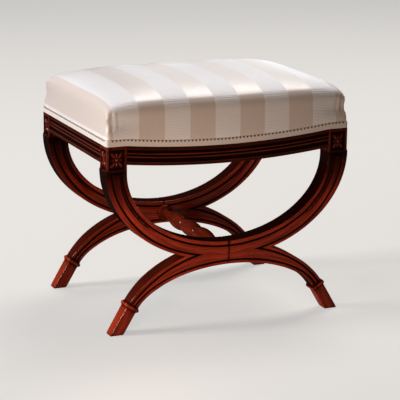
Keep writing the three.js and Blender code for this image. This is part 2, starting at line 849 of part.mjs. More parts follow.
// Woven webbing: a strip rises over or dips under each strip that it crosses
const lengthwayShares = [-0.5, 0, 0.5];
const crosswayShares = [-0.66, -0.22, 0.22, 0.66];
const webLevel = railTop + fitGap + webThickness / 2;
const lengthwayPlaces = lengthwayShares.map((share) => share * innerFaceY);
const crosswayPlaces = crosswayShares.map((share) => share * blockInnerX);

function webStrip(half, crossings, firstOver, toPoint) {
  const rise = webThickness / 2 + fitGap;
  const stations = [[-half, 0]];
  crossings.forEach((place, i) => {
    const over = (i % 2 === 0) === firstOver ? rise : -rise;
    const edge = webWidth / 2;
    stations.push([place - edge - 4 * webThickness * webWeave, 0]);
    stations.push([place - edge, over], [place + edge, over]);
    stations.push([place + edge + 4 * webThickness * webWeave, 0]);
  });
  stations.push([half, 0]);
  const rings = stations.map(([along, lift]) => [
    [-webWidth / 2, -webThickness / 2],
    [webWidth / 2, -webThickness / 2],
    [webWidth / 2, webThickness / 2],
    [-webWidth / 2, webThickness / 2],
  ].map(([across, high]) => toPoint(along, across, webLevel + lift + high)));
  return loft(rings);
}

// Each strip carries the heads of the tacks that hold its two ends
function webLengthway(y, i) {
  const half = hiddenX - webEndInset;
  const toPoint = (along, across, z) => new THREE.Vector3(along, y + across, z);
  return joined([webStrip(half, crosswayPlaces, i % 2 === 0, toPoint), ...webTacks(half, toPoint)]);
}

function webCrossway(x, i) {
  const half = hiddenY - webEndInset;
  const toPoint = (along, across, z) => new THREE.Vector3(x + across, along, z);
  return joined([webStrip(half, lengthwayPlaces, i % 2 !== 0, toPoint), ...webTacks(half, toPoint)]);
}

// A low six-sided head with its point along a direction
function tackHead(place, normal, radius, height) {
  const turn = new THREE.Quaternion().setFromUnitVectors(new THREE.Vector3(0, 0, 1), normal);
  const ring = [];
  for (let i = 0; i < 6; i += 1) {
    const angle = (i / 6) * 2 * Math.PI;
    ring.push(new THREE.Vector3(Math.cos(angle) * radius, Math.sin(angle) * radius, 0));
  }
  const move = (point) => point.applyQuaternion(turn).add(place);
  return loft([ring.map(move)], false, move(new THREE.Vector3(0, 0, height)));
}

function webTacks(half, toPoint) {
  const up = new THREE.Vector3(0, 0, 1);
  const z = webLevel + webThickness / 2 - tackSink;
  const heads = [];
  for (const end of [-1, 1]) {
    for (const side of [-1, 1]) {
      const place = toPoint(end * (half - tackEndInset), side * tackSpread, z);
      heads.push(tackHead(place, up, tackRadius, tackHeight + tackSink));
    }
  }
  return heads;
}

// Plan of the seat at an inset: the same count of points all round, with stations on the saddle's breaks
const arcShares = [0.25, 0.5, 0.75];

function seatPlan(halfX, halfY, radius) {
  const longStations = saddleShares.map((share) => share * blockInnerX);
  const reachX = halfX - radius;
  const reachY = halfY - radius;
  const fullX = coverHalfX - coverCornerRadius;
  const points = [];
  for (let side = 0; side < 4; side += 1) {
    const along = side % 2 === 0 ? [-fullX, ...longStations, fullX].map((x) => (x / fullX) * reachX)
      : [-1, -0.5, 0, 0.5, 1].map((share) => share * reachY);
    const out = side % 2 === 0 ? halfY : halfX;
    const turn = (side * Math.PI) / 2;
    const place = (a, o) => new THREE.Vector2(
      Math.round(Math.cos(turn)) * a + Math.round(Math.sin(turn)) * o,
      Math.round(Math.sin(turn)) * a - Math.round(Math.cos(turn)) * o,
    );
    for (const a of along) points.push(place(a, out));
    const endAlong = side % 2 === 0 ? reachX : reachY;
    for (const share of arcShares) {
      const angle = share * quarter;
      points.push(place(endAlong + Math.sin(angle) * radius, out - radius + Math.cos(angle) * radius));
    }
  }
  return points;
}

// Height of the domed top over a point of the plan, for a skin set in by a thickness
function seatHeight(x, y, inset, thickness) {
  const shareX = Math.min(1, Math.abs(x) / (coverHalfX - thickness));
  const shareY = Math.min(1, Math.abs(y) / (coverHalfY - thickness));
  const crown = crownHeight * (1 - shareX ** crownPowerX) * (1 - shareY ** crownPowerY);
  const left = Math.max(0, shoulderRound - inset);
  const edge = shoulderRound - Math.sqrt(Math.max(0, shoulderRound ** 2 - left ** 2));
  return shoulderHeight - thickness + crown - edge;
}

// Rings of the seat's skin. Side rows: outward bulge, height over the show wood, share of the saddle.
const cornerSpreadShare = 0.85;
const cornerFullShare = 0.9;
const sideTop = shoulderHeight - shoulderRound - railLineHeight;
const outerSideShares = [[0, 0, 1], [0, 0.33, 1], [1, 0.7, 0.35]];
const outerTopShares = [0, 0.05, 0.17, 0.37, 0.67, 1.07, 1.6, 2.4, 3.5, 4.8, 5.9];
const innerSideShares = [[0, 0, 1], [0, 0.33, 1], [1, 0.7, 0.35]];
const innerTopShares = [0, 0.08, 0.33, 0.8, 1.6, 3, 5.2];

function seatRings(thickness, sideRows, topShares) {
  const rings = [];
  for (const [bulge, high, saddle] of sideRows) {
    const out = bulge * sideBulge - thickness;
    const plan = seatPlan(coverHalfX + out, coverHalfY + out, Math.max(fitGap, coverCornerRadius - thickness));
    rings.push(plan.map((p) => new THREE.Vector3(
      p.x,
      p.y,
      railLineHeight + fitGap + high * sideTop - saddle * saddleAt(p.x),
    )));
  }
  for (const share of topShares) {
    const inset = share * shoulderRound;
    const drawIn = inset + thickness - sideBulge * Math.max(0, 1 - share);
    const spread = Math.max(fitGap, coverCornerRadius - thickness) + inset * cornerSpreadShare;
    const radius = Math.min(spread, cornerFullShare * (coverHalfY - drawIn));
    const plan = seatPlan(coverHalfX - drawIn, coverHalfY - drawIn, radius);
    rings.push(plan.map((p) => new THREE.Vector3(p.x, p.y, seatHeight(p.x, p.y, inset, thickness))));
  }
  return rings;
}

function seatCover() {
  const outer = seatRings(0, outerSideShares, outerTopShares);
  const inner = seatRings(coverThickness, innerSideShares, innerTopShares);
  const topOut = new THREE.Vector3(0, 0, shoulderHeight + crownHeight);
  const topIn = new THREE.Vector3(0, 0, shoulderHeight + crownHeight - coverThickness);
  const rings = [...outer.slice().reverse(), ...inner];
  const count = rings[0].length;
  const points = [...rings.flat(), topOut, topIn];
  const triangles = [];
  for (let i = 0; i < rings.length - 1; i += 1) {
    for (let j = 0; j < count; j += 1) {
      const k = (j + 1) % count;
      triangles.push([i * count + j, i * count + k, (i + 1) * count + k]);
      triangles.push([i * count + j, (i + 1) * count + k, (i + 1) * count + j]);
    }
  }
  const last = (rings.length - 1) * count;
  for (let j = 0; j < count; j += 1) {
    const k = (j + 1) % count;
    triangles.push([k, j, points.length - 2]);
    triangles.push([last + j, last + k, points.length - 1]);
  }
  return closedGeometry(points, triangles);
}

const hessianLevel = webLevel + webThickness / 2 + webThickness / 2 + fitGap + fitGap;
const stuffingLevel = hessianLevel + hessianThickness + fitGap;

function hessian() {
  const halfX = hiddenX - hessianInset;
  const halfY = hiddenY - hessianInset;
  return boxBetween([-halfX, -halfY, hessianLevel], [halfX, halfY, hessianLevel + hessianThickness]);
}

function seatStuffing() {
  const thickness = coverThickness + fitGap;
  const rings = seatRings(thickness, innerSideShares, innerTopShares);
  const base = rings[1].map((p) => new THREE.Vector3(p.x, p.y, stuffingLevel));
  const top = new THREE.Vector3(0, 0, shoulderHeight + crownHeight - thickness);
  return loft([base, ...rings.slice(3)], false, top);
}

// Gimp: a flat band round the lower edge of the cover, with the heads of the nails that hold it
function gimpBraid() {
  const innerOut = fitGap;
  const outerOut = fitGap + gimpThickness;
  const ring = (out, high) => seatPlan(coverHalfX + out, coverHalfY + out, coverCornerRadius + out).map((p) => (
    new THREE.Vector3(p.x, p.y, railLineHeight + fitGap + high - saddleAt(p.x))
  ));
  const band = loft([
    ring(innerOut, 0),
    ring(outerOut, 0),
    ring(outerOut, gimpHeight),
    ring(innerOut, gimpHeight),
  ], true);
  return joined([band, ...gimpNails()]);
}

// Small domed nails in a close row through the top of the gimp
function nailHead(place, normal) {
  const turn = new THREE.Quaternion().setFromUnitVectors(new THREE.Vector3(0, 0, 1), normal);
  const move = (point) => point.applyQuaternion(turn).add(place);
  const ring = [];
  for (let i = 0; i < 6; i += 1) {
    const angle = (i / 6) * 2 * Math.PI;
    ring.push(move(new THREE.Vector3(Math.cos(angle) * nailRadius, Math.sin(angle) * nailRadius, -nailSink)));
  }
  return loft([ring], false, move(new THREE.Vector3(0, 0, nailHeight)));
}

function gimpNails() {
  const out = fitGap + gimpThickness;
  const row = [];
  const spread = (half) => {
    const length = 2 * (half - nailCornerInset);
    const count = Math.round(length / nailPitch);
    const places = [];
    for (let i = 0; i <= count; i += 1) places.push(-length / 2 + (length * i) / count);
    return places;
  };
  for (const sign of [-1, 1]) {
    for (const x of spread(coverHalfX)) {
      const z = railLineHeight + fitGap + nailLineHeight - saddleAt(x);
      row.push(nailHead(new THREE.Vector3(x, sign * (coverHalfY + out), z), new THREE.Vector3(0, sign, 0)));
    }
    for (const y of spread(coverHalfY)) {
      const z = railLineHeight + fitGap + nailLineHeight;
      row.push(nailHead(new THREE.Vector3(sign * (coverHalfX + out), y, z), new THREE.Vector3(sign, 0, 0)));
    }
  }
  return row;
}

// Cloth under the seat: it follows the rails and is notched round the frames
function bottomCloth() {
  const top = railBottom - fitGap;
  const edgeX = blockInnerX - fitGap;
  const halfY = railFaceY - bottomClothInset;
  const middle = loft(saddleShares.map((share) => {
    const x = share * edgeX;
    const drop = saddleAt(Math.abs(share) === 1 ? blockInnerX : x);
    return [[-halfY, 0], [halfY, 0], [halfY, -1], [-halfY, -1]].map(([y, down]) => (
      new THREE.Vector3(x, y, top - drop + down * bottomClothThickness)
    ));
  }));
  const wingX = railFaceX - bottomClothInset;
  const wingY = innerFaceY - fitGap;
  const wings = [-1, 1].map((sign) => boxBetween(
    [Math.min(sign * wingX, sign * (edgeX - cutOverrun)), -wingY, top - bottomClothThickness],
    [Math.max(sign * wingX, sign * (edgeX - cutOverrun)), wingY, top],
  ));
  return joined([middle, ...wings, ...bottomClothTacks()]);
}

function bottomClothTacks() {
  const down = new THREE.Vector3(0, 0, -1);
  const z = railBottom - fitGap - bottomClothThickness + tackSink;
  const row = [];
  const spread = (half) => {
    const count = Math.round((2 * half) / bottomTackPitch);
    const places = [];
    for (let i = 0; i <= count; i += 1) places.push(-half + (2 * half * i) / count);
    return places;
  };
  for (const sign of [-1, 1]) {
    for (const x of spread(blockInnerX - bottomTackInset * 3)) {
      const y = sign * (railFaceY - bottomClothInset - bottomTackInset);
      const place = new THREE.Vector3(x, y, z - saddleAt(x));
      row.push(tackHead(place, down, tackRadius, tackHeight + tackSink));
    }
    for (const y of spread(innerFaceY - bottomTackInset * 3)) {
      const x = sign * (railFaceX - bottomClothInset - bottomTackInset);
      row.push(tackHead(new THREE.Vector3(x, y, z), down, tackRadius, tackHeight + tackSink));
    }
  }
  return row;
}

// Materials in the colours of the photographed stool
const polishedMahogany = new THREE.MeshStandardMaterial({ color: 0x5a1a10, roughness: 0.24, metalness: 0 });
const carvedMahogany = new THREE.MeshStandardMaterial({ color: 0x4a160e, roughness: 0.3, metalness: 0 });
const paleBeech = new THREE.MeshStandardMaterial({ color: 0xb58f63, roughness: 0.6, metalness: 0 });
const steel = new THREE.MeshStandardMaterial({ color: 0x8f9094, roughness: 0.4, metalness: 1 });
const stripedSatin = new THREE.MeshStandardMaterial({ color: 0xe9e4da, roughness: 0.6, metalness: 0 });
const creamBraid = new THREE.MeshStandardMaterial({ color: 0xe2d8ce, roughness: 0.8, metalness: 0 });
const juteWeb = new THREE.MeshStandardMaterial({ color: 0x9c7b4c, roughness: 0.95, metalness: 0 });
const juteCloth = new THREE.MeshStandardMaterial({ color: 0xa88a5c, roughness: 0.95, metalness: 0 });
const hairPad = new THREE.MeshStandardMaterial({ color: 0xcdbf9f, roughness: 1, metalness: 0 });
const blackCambric = new THREE.MeshStandardMaterial({ color: 0x1c1b1c, roughness: 0.9, metalness: 0 });

const stool = new THREE.Group();

function addPiece(name, geometry, material) {
  const solid = bare(geometry);
  solid.computeVertexNormals();
  const mesh = new THREE.Mesh(solid, material);
  mesh.name = name;
  stool.add(mesh);
}

const corners = [
  ['front_right', 1, 1],
  ['front_left', -1, 1],
  ['back_right', 1, -1],
  ['back_left', -1, -1],
];

const halfFrame = frameHalf();
const collar = footCollar();
const faceRosette = frontRosette();
const endRosette = sideRosette();
const brace = cornerBrace();
const [lowerScrew, upperScrew] = braceScrews();
for (const [corner, signX, signY] of corners) {
  addPiece(`frame_${corner}`, mirrored(halfFrame, signX, signY), polishedMahogany);
  addPiece(`foot_collar_${corner}`, mirrored(collar, signX, signY), polishedMahogany);
  addPiece(`rosette_face_${corner}`, mirrored(faceRosette, signX, signY), carvedMahogany);
  addPiece(`rosette_end_${corner}`, mirrored(endRosette, signX, signY), carvedMahogany);
  addPiece(`corner_brace_${corner}`, mirrored(brace, signX, signY), paleBeech);
  addPiece(`brace_screw_lower_${corner}`, mirrored(lowerScrew, signX, signY), steel);
  addPiece(`brace_screw_upper_${corner}`, mirrored(upperScrew, signX, signY), steel);
}

const railFront = frontRail();
const railRight = sideRail();
addPiece('rail_front', railFront, polishedMahogany);
addPiece('rail_back', mirrored(railFront, 1, -1), polishedMahogany);
addPiece('rail_right', railRight, polishedMahogany);
addPiece('rail_left', mirrored(railRight, -1, 1), polishedMahogany);
addPiece('stretcher', stretcher(), polishedMahogany);
const dowelNames = ['lower', 'upper'];
dowelPlaces().forEach((place, i) => {
  const dowel = centreDowel(place);
  addPiece(`waist_dowel_front_${dowelNames[i]}`, dowel, paleBeech);
  addPiece(`waist_dowel_back_${dowelNames[i]}`, mirrored(dowel, 1, -1), paleBeech);
});
lengthwayPlaces.forEach((y, i) => addPiece(`web_lengthways_${i + 1}`, webLengthway(y, i), juteWeb));
crosswayPlaces.forEach((x, i) => addPiece(`web_crossways_${i + 1}`, webCrossway(x, i), juteWeb));
addPiece('hessian', hessian(), juteCloth);
addPiece('seat_stuffing', seatStuffing(), hairPad);
addPiece('seat_cover', seatCover(), stripedSatin);
addPiece('gimp_and_nails', gimpBraid(), creamBraid);
addPiece('bottom_cloth', bottomCloth(), blackCambric);

export default stool;
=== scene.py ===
import math
from functools import partial

import bmesh
import bpy
import numpy as np
from mathutils import Matrix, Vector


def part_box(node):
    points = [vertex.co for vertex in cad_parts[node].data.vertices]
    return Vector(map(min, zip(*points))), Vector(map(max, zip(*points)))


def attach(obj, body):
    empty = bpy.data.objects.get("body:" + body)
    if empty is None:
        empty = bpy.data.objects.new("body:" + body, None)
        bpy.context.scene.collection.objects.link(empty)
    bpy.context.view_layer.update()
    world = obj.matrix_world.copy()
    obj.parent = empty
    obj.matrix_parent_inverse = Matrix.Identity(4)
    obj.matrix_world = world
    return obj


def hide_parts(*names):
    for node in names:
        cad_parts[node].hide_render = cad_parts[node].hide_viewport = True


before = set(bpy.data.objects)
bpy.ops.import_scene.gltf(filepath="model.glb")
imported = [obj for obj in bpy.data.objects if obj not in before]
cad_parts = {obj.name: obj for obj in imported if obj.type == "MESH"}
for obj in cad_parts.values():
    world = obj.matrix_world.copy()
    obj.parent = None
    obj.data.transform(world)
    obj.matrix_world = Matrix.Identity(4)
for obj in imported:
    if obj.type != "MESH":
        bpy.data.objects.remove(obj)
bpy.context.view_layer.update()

# The view: a long lens, well back from the stool and to the left of its front, looking slightly down on
# the seat, as a furniture maker shows a stool in a catalogue.
view_turn, view_rise, view_roll = (math.radians(v) for v in (-23.994, 14.382, 0.639))
view_target = np.array((0.0202, 0.0, 0.2242))
view_distance, view_lens = 3.7484, 149.84


def stand(thing, *axes):
    """Puts a camera or lamp into the scene by four vectors: its right, its top, its back and its place."""
    bpy.context.scene.collection.objects.link(thing)
    at = Matrix.Identity(4)
    for i, column in enumerate(axes):
        at[0][i], at[1][i], at[2][i] = (float(v) for v in column)
    thing.matrix_world = at


level = np.array((math.cos(view_turn), math.sin(view_turn), 0.0))
away = np.array((math.sin(view_turn), -math.cos(view_turn), 0.0)) * math.cos(view_rise)
away[2] = math.sin(view_rise)
upright = np.cross(away, level)
across_view = level * math.cos(view_roll) + upright * math.sin(view_roll)
up_view = upright * math.cos(view_roll) - level * math.sin(view_roll)
eye = bpy.data.objects.new("eye", bpy.data.cameras.new("eye"))
eye.data.sensor_width = 36.0
eye.data.lens = view_lens
eye.data.clip_end = 100.0
stand(eye, across_view, up_view, away, view_target + away * view_distance)
bpy.context.scene.camera = eye

# The X frames: a front and a back one, each in a left and a right half of solid mahogany that meet in a
# seam at the waist. Both faces are sunk to a panel between two beads, and the top of each arm is a squared
# corner block with a sunk field on its two outer faces. All sizes are in millimetres until a mesh is made.
half_width, half_depth, plank = 280.0, 202.5, 40.6
rail_line, block_bottom, block_inner = 411.0, 356.0, 235.0
bead_inset, bead_flank, edge_round = 6.6, 5.2, 1.5
closing_height = block_bottom + bead_inset
seam_start, seam_face = 1.5, 0.2
ankle = np.array((221.3, 57.5))
ankle_axis = np.array((math.cos(math.radians(56.0)), -math.sin(math.radians(56.0))))
ankle_across = np.array((math.sin(math.radians(56.0)), math.cos(math.radians(56.0))))
arm_inner = dict(span=235.0, rise=168.0, centre=352.0, upward=False, inward=-1.0, wider=(2.0, -2.0, -1.0))
arm_outer = dict(span=282.0, rise=215.0, centre=360.0, upward=False, inward=1.0, wider=(4.2, 0.609, 1.15))
leg_top = dict(span=262.7, rise=210.3, centre=-34.5, upward=True, inward=-1.0)
leg_arch = dict(span=216.3, rise=107.3, centre=25.5, upward=True, inward=1.0)
leg_end, thin_from, ankle_deep = 5.3, 62.0, 30.4
foot_sole, waist_line, field_middle, post_top = np.array((255.5, 0.0)), 159.0, 382.6, 436.0
corners = {
    "front_right": (1.0, 1.0), "front_left": (-1.0, 1.0),
    "back_right": (1.0, -1.0), "back_left": (-1.0, -1.0),
}


def smooth_step(share):
    """0 below 0, 1 above 1 and 3 s^2 - 2 s^3 between them."""
    share = np.clip(share, 0.0, 1.0)
    return share * share * (3 - 2 * share)


def edge_row(inset, span, rise, centre, upward, inward, wider=(0.0, 0.0, 1.0)):
    """A dense row of points along an edge of the plank, moved square to that edge by an inset.

    The edge is x = span sin a, z = centre +- rise cos a for a from 0 to a right angle, and then runs
    straight on for 8 mm. Its left normal is (-dz, dx) divided by its length. wider holds how much wider
    the bead gets, and the angles between which it does so by a smooth step.
    """
    a = np.linspace(0.0, math.pi / 2, 1201)
    way = 1.0 if upward else -1.0
    if inset >= bead_flank:
        inset = inset + wider[0] * smooth_step((a - wider[1]) / (wider[2] - wider[1]))
    x, z = span * np.sin(a), centre + way * rise * np.cos(a)
    dx, dz = span * np.cos(a), -way * rise * np.sin(a)
    length = np.hypot(dx, dz)
    x, z = x - inward * inset * dz / length, z + inward * inset * dx / length
    return np.stack((np.append(x, x[-1]), np.append(z, z[-1] - way * 8.0)), 1)


def stretch(row, begins, ends, count):
    """The part of a dense row between two crossings, as evenly spaced points.

    begins and ends hold a value for each point of the row that grows through zero at the crossing.
    """
    run = np.append(0.0, np.cumsum(np.hypot(*np.diff(row, axis=0).T)))
    at = np.linspace(np.interp(0.0, begins, run), np.interp(0.0, ends, run), count)
    return np.stack((np.interp(at, run, row[:, 0]), np.interp(at, run, row[:, 1])), 1)


def crotch_x(inset):
    """Where the arm's outer edge and the leg's top edge cross, both moved inward by an inset."""
    arm, leg = edge_row(inset, **arm_outer), edge_row(inset, **leg_top)
    x = np.linspace(40.0, 150.0, 2201)
    arm_high, leg_high = (np.interp(x, row[:1190, 0], row[:1190, 1]) for row in (arm, leg))
    return np.interp(0.0, arm_high - leg_high, x)


def moulding_profile():
    """The section carried along every edge: (inset from the edge, depth under the front face).

    From the panel through the groove, over the bead and its rounded corner, down the side of the plank and
    back along the other face as its mirror image. The corner is a quarter circle, the bead a low arc.
    """
    groove = [(11.0, 0.0), (10.5, 0.06), (10.1, 0.3), (9.8, 0.9), (9.4, 1.9), (8.8, 2.6), (8.0, 2.8)]
    groove += [(7.2, 2.6), (6.75, 1.9), (6.4, 1.1), (6.1, 0.75), (5.7, 0.55), (5.2, 0.4), (3.4, 0.0)]
    turn = np.linspace(0.0, math.pi / 2, 6)
    corner = np.stack((edge_round * (1 - np.sin(turn)), edge_round * (1 - np.cos(turn))), 1)
    front = np.vstack((groove, corner))
    side = np.stack((np.zeros(7), np.linspace(0.0, plank, 9)[1:-1]), 1)
    back = front[::-1] * (1, -1) + (0, plank)
    return np.vstack((front, side, back))


profile = moulding_profile()


def edge_strip(edge, start, end, count):
    """A grid of points: the moulding's section carried along one edge of the plank.

    start and end give, for a row at an inset, the value that passes zero where the row begins or ends.
    """
    grid = np.empty((len(profile), count, 3))
    for i, (inset, depth) in enumerate(profile):
        row = edge_row(inset, **edge)
        grid[i, :, ::2] = stretch(row, start(row, inset), end(row, inset), count)
        grid[i, :, 1] = depth - half_depth
    return grid


def from_seam(row, inset):
    return row[:, 0] - seam_start


def from_crotch(row, inset):
    return row[:, 0] - crotch_x(inset)


def up_to_block(row, inset):
    return row[:, 1] - (closing_height - max(inset, bead_flank))


def down_to_collar(row, inset):
    return (row - ankle) @ ankle_axis + leg_end


def thinned(points):
    """The leg gets thinner toward the ankle: both faces draw in evenly over its last 57 mm."""
    share = np.clip(((points[..., ::2] - ankle) @ ankle_axis + thin_from) / (thin_from - leg_end), 0.0, 1.0)
    middle = plank / 2 - half_depth
    drawn = points.copy()
    drawn[..., 1] = middle + (points[..., 1] - middle) * (1 - share * (1 - ankle_deep / plank))
    return drawn


def ruled(row_a, row_b, count):
    """Straight lines between two rows of points, as a grid with count points across."""
    share = np.linspace(0.0, 1.0, count)[:, None, None]
    return row_a[None] * (1 - share) + row_b[None] * share


def quads(rows, cols, first, round_cols):
    """Four corners of each cell of a grid whose points are numbered row by row."""
    i = (np.arange(rows - 1) * cols)[:, None]
    j = np.arange(cols if round_cols else cols - 1)[None]
    k = (j + 1) % cols
    return np.stack((i + j, i + k, i + cols + k, i + cols + j), -1).reshape(-1, 4) + first


def grain_marks(grid):
    """Grain coordinates of a grid: millimetres along its columns and across its rows, from its middle row."""
    along = np.append(0.0, np.cumsum(np.linalg.norm(np.diff(grid[len(grid) // 2], axis=0), axis=1)))
    across = np.append(0.0, np.cumsum(np.linalg.norm(np.diff(grid[:, grid.shape[1] // 2], axis=0), axis=1)))
    return np.stack(np.broadcast_arrays(along[None, :], across[:, None]), -1)


def make_piece(name, grids, caps=(), material=None, signs=(1.0, 1.0), sharp=32.0, marks=None, glaze=None):
    """One mesh from grids of points in millimetres and closing rings, welded, facing out and placed in metres.

    grids holds (points, whether the columns close on themselves), caps holds rings that are filled flat.
    The map named grain holds metres along and across each grid. The darkening, if given, is a function of the
    points that tells how much dark stain and painted shade lie there, or holds its values for each grid and
    ring.
    """
    points, faces, uv = [], [], []
    first = 0
    for n, (grid, closed) in enumerate(grids):
        rows, cols = grid.shape[:2]
        cell = quads(rows, cols, first, closed)
        mark = (grain_marks(grid) if marks is None or marks[n] is None else marks[n]).reshape(-1, 2)
        points.append(grid.reshape(-1, 3))
        faces += cell.tolist()
        uv.append(mark[cell - first].reshape(-1, 2))
        first += rows * cols
    for ring in caps:
        points.append(ring)
        faces.append(list(range(first, first + len(ring))))
        uv.append(ring[:, :2])
        first += len(ring)
    points = np.vstack(points)
    if glaze is None:
        stain = np.zeros(len(points))
    else:
        stain = glaze(points) if callable(glaze) else np.concatenate([part.ravel() for part in glaze])
    mesh = bpy.data.meshes.new(name)
    placed = points * (signs[0], signs[1], 1.0) * 0.001
    mesh.from_pydata(placed.tolist(), [], faces)
    mesh.uv_layers.new(name="grain").data.foreach_set("uv", (np.vstack(uv) * 0.001).ravel())
    # This attribute carries dark stain and painted shade together.
    mesh.attributes.new("glaze", "FLOAT", "POINT").data.foreach_set("value", stain)
    work = bmesh.new()
    work.from_mesh(mesh)
    bmesh.ops.remove_doubles(work, verts=work.verts, dist=0.00002)
    bmesh.ops.dissolve_degenerate(work, edges=work.edges, dist=0.000001)
    bmesh.ops.recalc_face_normals(work, faces=work.faces)
    work.to_mesh(mesh)
    work.free()
    mesh.polygons.foreach_set("use_smooth", np.ones(len(mesh.polygons), bool))
    mesh.set_sharp_from_angle(angle=math.radians(sharp))
    if material:
        mesh.materials.append(material)
    piece = bpy.data.objects.new(name, mesh)
    bpy.context.scene.collection.objects.link(piece)
    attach(piece, "root")
    return piece


def fit(node, slot, *made, **more):
    """Makes a piece that stands for a CAD node, and hides that node. The slot is not used."""
    piece = make_piece(*made, **more)
    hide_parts(node)
    return piece


def block_grid():
    """The corner block as a closed wall of points: rows up its height, columns round its four faces.

    A column is a place on the outline of the plank's end, with rounded corners. On the two outer faces the
    wall is sunk by 3 mm times a smooth step over the border's inner edge, up and down as well as across.
    """
    heights = [357.2, 358, 359, 360, 360.75, 361, 361.25, 366, 372, 378, 384, 390, 396, 400]
    heights = np.array(heights + [403.95, 404.2, 404.45, 405.5, 408, 410.5, rail_line])[:, None]
    turn = np.linspace(0.0, math.pi / 2, 6)[1:-1]
    s, c = edge_round * np.sin(turn), edge_round * np.cos(turn)
    outer = half_width + 2.0 * np.clip((362.0 - heights) / 2.0, 0.0, 1.0)

    def sunk(place, size):
        return smooth_step((np.minimum(place, size - place) - 4.75) / 0.5)

    def spaced(size):
        edge = np.array([edge_round, 3.2, 4.75, 5.0, 5.25, 8.5])
        return np.concatenate((edge, np.linspace(12, size - 12, 5), size - edge[::-1]))

    rise = 3.0 * sunk(heights - block_bottom, rail_line - block_bottom)
    rise = rise * np.clip((rail_line - 6.55 - heights) / 0.5, 0.0, 1.0)
    wide = half_width - block_inner
    face, end = spaced(wide), spaced(plank)
    across = (outer - block_inner) / wide
    columns = (
        (block_inner + face * across, rise * sunk(face, wide)),
        (outer - edge_round + s, edge_round - c),
        (outer - rise * sunk(end, plank), end),
        (outer - edge_round + c, plank - edge_round + s),
        (block_inner + face[::-1] * across, plank),
        (block_inner + edge_round - s, plank - edge_round + c),
        (block_inner, end[::-1]),
        (block_inner + edge_round - c, edge_round - s),
    )
    spots = [np.broadcast_arrays(x, depth - half_depth, heights) for x, depth in columns]
    return np.hstack([np.stack(spot, -1) for spot in spots])


def upright_marks(grid):
    """Grain coordinates with the grain running up the piece."""
    run = np.append(0.0, np.cumsum(np.linalg.norm(np.diff(grid[len(grid) // 2], axis=0), axis=1)))
    return np.stack(np.broadcast_arrays(grid[:, :, 2], run[None, :]), -1)


def strip_glaze(grid, side):
    """Darkening along a moulded edge: dark stain with painted shade, full in the groove and its lips, dark to
    its own depth on the side, and the face's painted shade over the rest.
    """
    inset, depth = profile[:, 0][:, None], profile[:, 1][:, None]
    depth = np.minimum(depth, plank - depth)
    sunk = np.clip((np.minimum(inset - 5.6, 10.6 - inset)) / 0.7, 0.0, 1.0)
    return np.maximum(np.maximum(sunk, side * (depth > edge_round - 0.2) * (inset < 0.2)), face_glaze(grid))


def face_glaze(grid):
    """Painted shade on the flat faces: darker by a smooth step from z 250 to 335, as shade under the seat, and
    a painted shadow just above the collar.
    """
    z = grid[..., 2]
    high = 0.85 * smooth_step((z - 250.0) / 85.0) + 0.12 * np.clip((z - 335.0) / 15.0, 0.0, 1.0)
    along = (grid[..., ::2] - ankle) @ ankle_axis
    near = np.clip((along + leg_end + 9.0) / 7.0, 0.0, 1.0)
    return np.maximum(high, 0.95 * near**2)


def block_glaze(grid):
    """Dark stain and painted shade fill the sunk fields and lie half deep on the borders; most lies just under
    the block, a painted shadow.
    """
    depth = np.minimum(grid[..., 1] + half_depth, half_width - grid[..., 0])
    inside = (np.abs(grid[..., 2] - field_middle) < 21.5) & (depth > 1.5) & (depth < 3.3)
    low = np.clip((361.0 - grid[..., 2]) / 2.5, 0.0, 1.0)
    return np.where(inside, 1.0, 0.72 + 0.28 * low)


def foot_glaze(grid):
    """A painted shadow darkens the foot in a band under the collar."""
    along = (grid[..., ::2] - ankle) @ ankle_axis
    return 0.9 * np.clip((11.0 - along) / 5.0, 0.0, 1.0)


def oblong_turns(steps):
    """The corners of an oblong in turn: each one's two signs, and the angles over which it is rounded."""
    turn = np.linspace(0.0, math.pi / 2, steps)
    quarters = enumerate(((1, 1), (-1, 1), (-1, -1), (1, -1)))
    return [(sx, sy, turn + n * math.pi / 2) for n, (sx, sy) in quarters]


def square_foot():
    """The foot as a closed wall: rounded oblong sections from inside the collar down to the level sole.

    A narrower stem stands under the leg's end. Below the collar the corners of each section lie on straight
    lines from the ankle's cut, square to its axis, to the sole, flat on the floor.
    """
    stations = [(-5.6, 1.2, 0.0), (-4.8, 1.2, 0.0), (-3.8, 0.0, 0.0), (4.5, 0.0, 0.0)]
    stations += [(4.5, 0.0, share) for share in (0.08, 0.2, 0.34, 0.5, 0.66, 0.82, 0.94, 1.0)]
    rows = []
    for past, inset, share in stations:
        wide = (25.0 + 5.0 * share) / 2 - inset
        deep = (ankle_deep + (27.5 - ankle_deep) * share) / 2 - inset
        middle = (ankle + ankle_axis * past) * (1 - share) + foot_sole * share
        along = ankle_across * (1 - share) + np.array((1.0, 0.0)) * share
        radius = 1.4 + 0.5 * share
        trim = 0.7 if share == 1.0 else 0.0
        ring = []
        for sx, sy, angle in oblong_turns(5):
            u = sx * (wide - radius) + np.cos(angle) * (radius - trim)
            v = sy * (deep - radius) + np.sin(angle) * (radius - trim)
            y = v - half_depth + plank / 2
            ring.append(np.stack((middle[0] + along[0] * u, y, middle[1] + along[1] * u), 1))
        rows.append(np.vstack(ring))
    return np.array(rows)


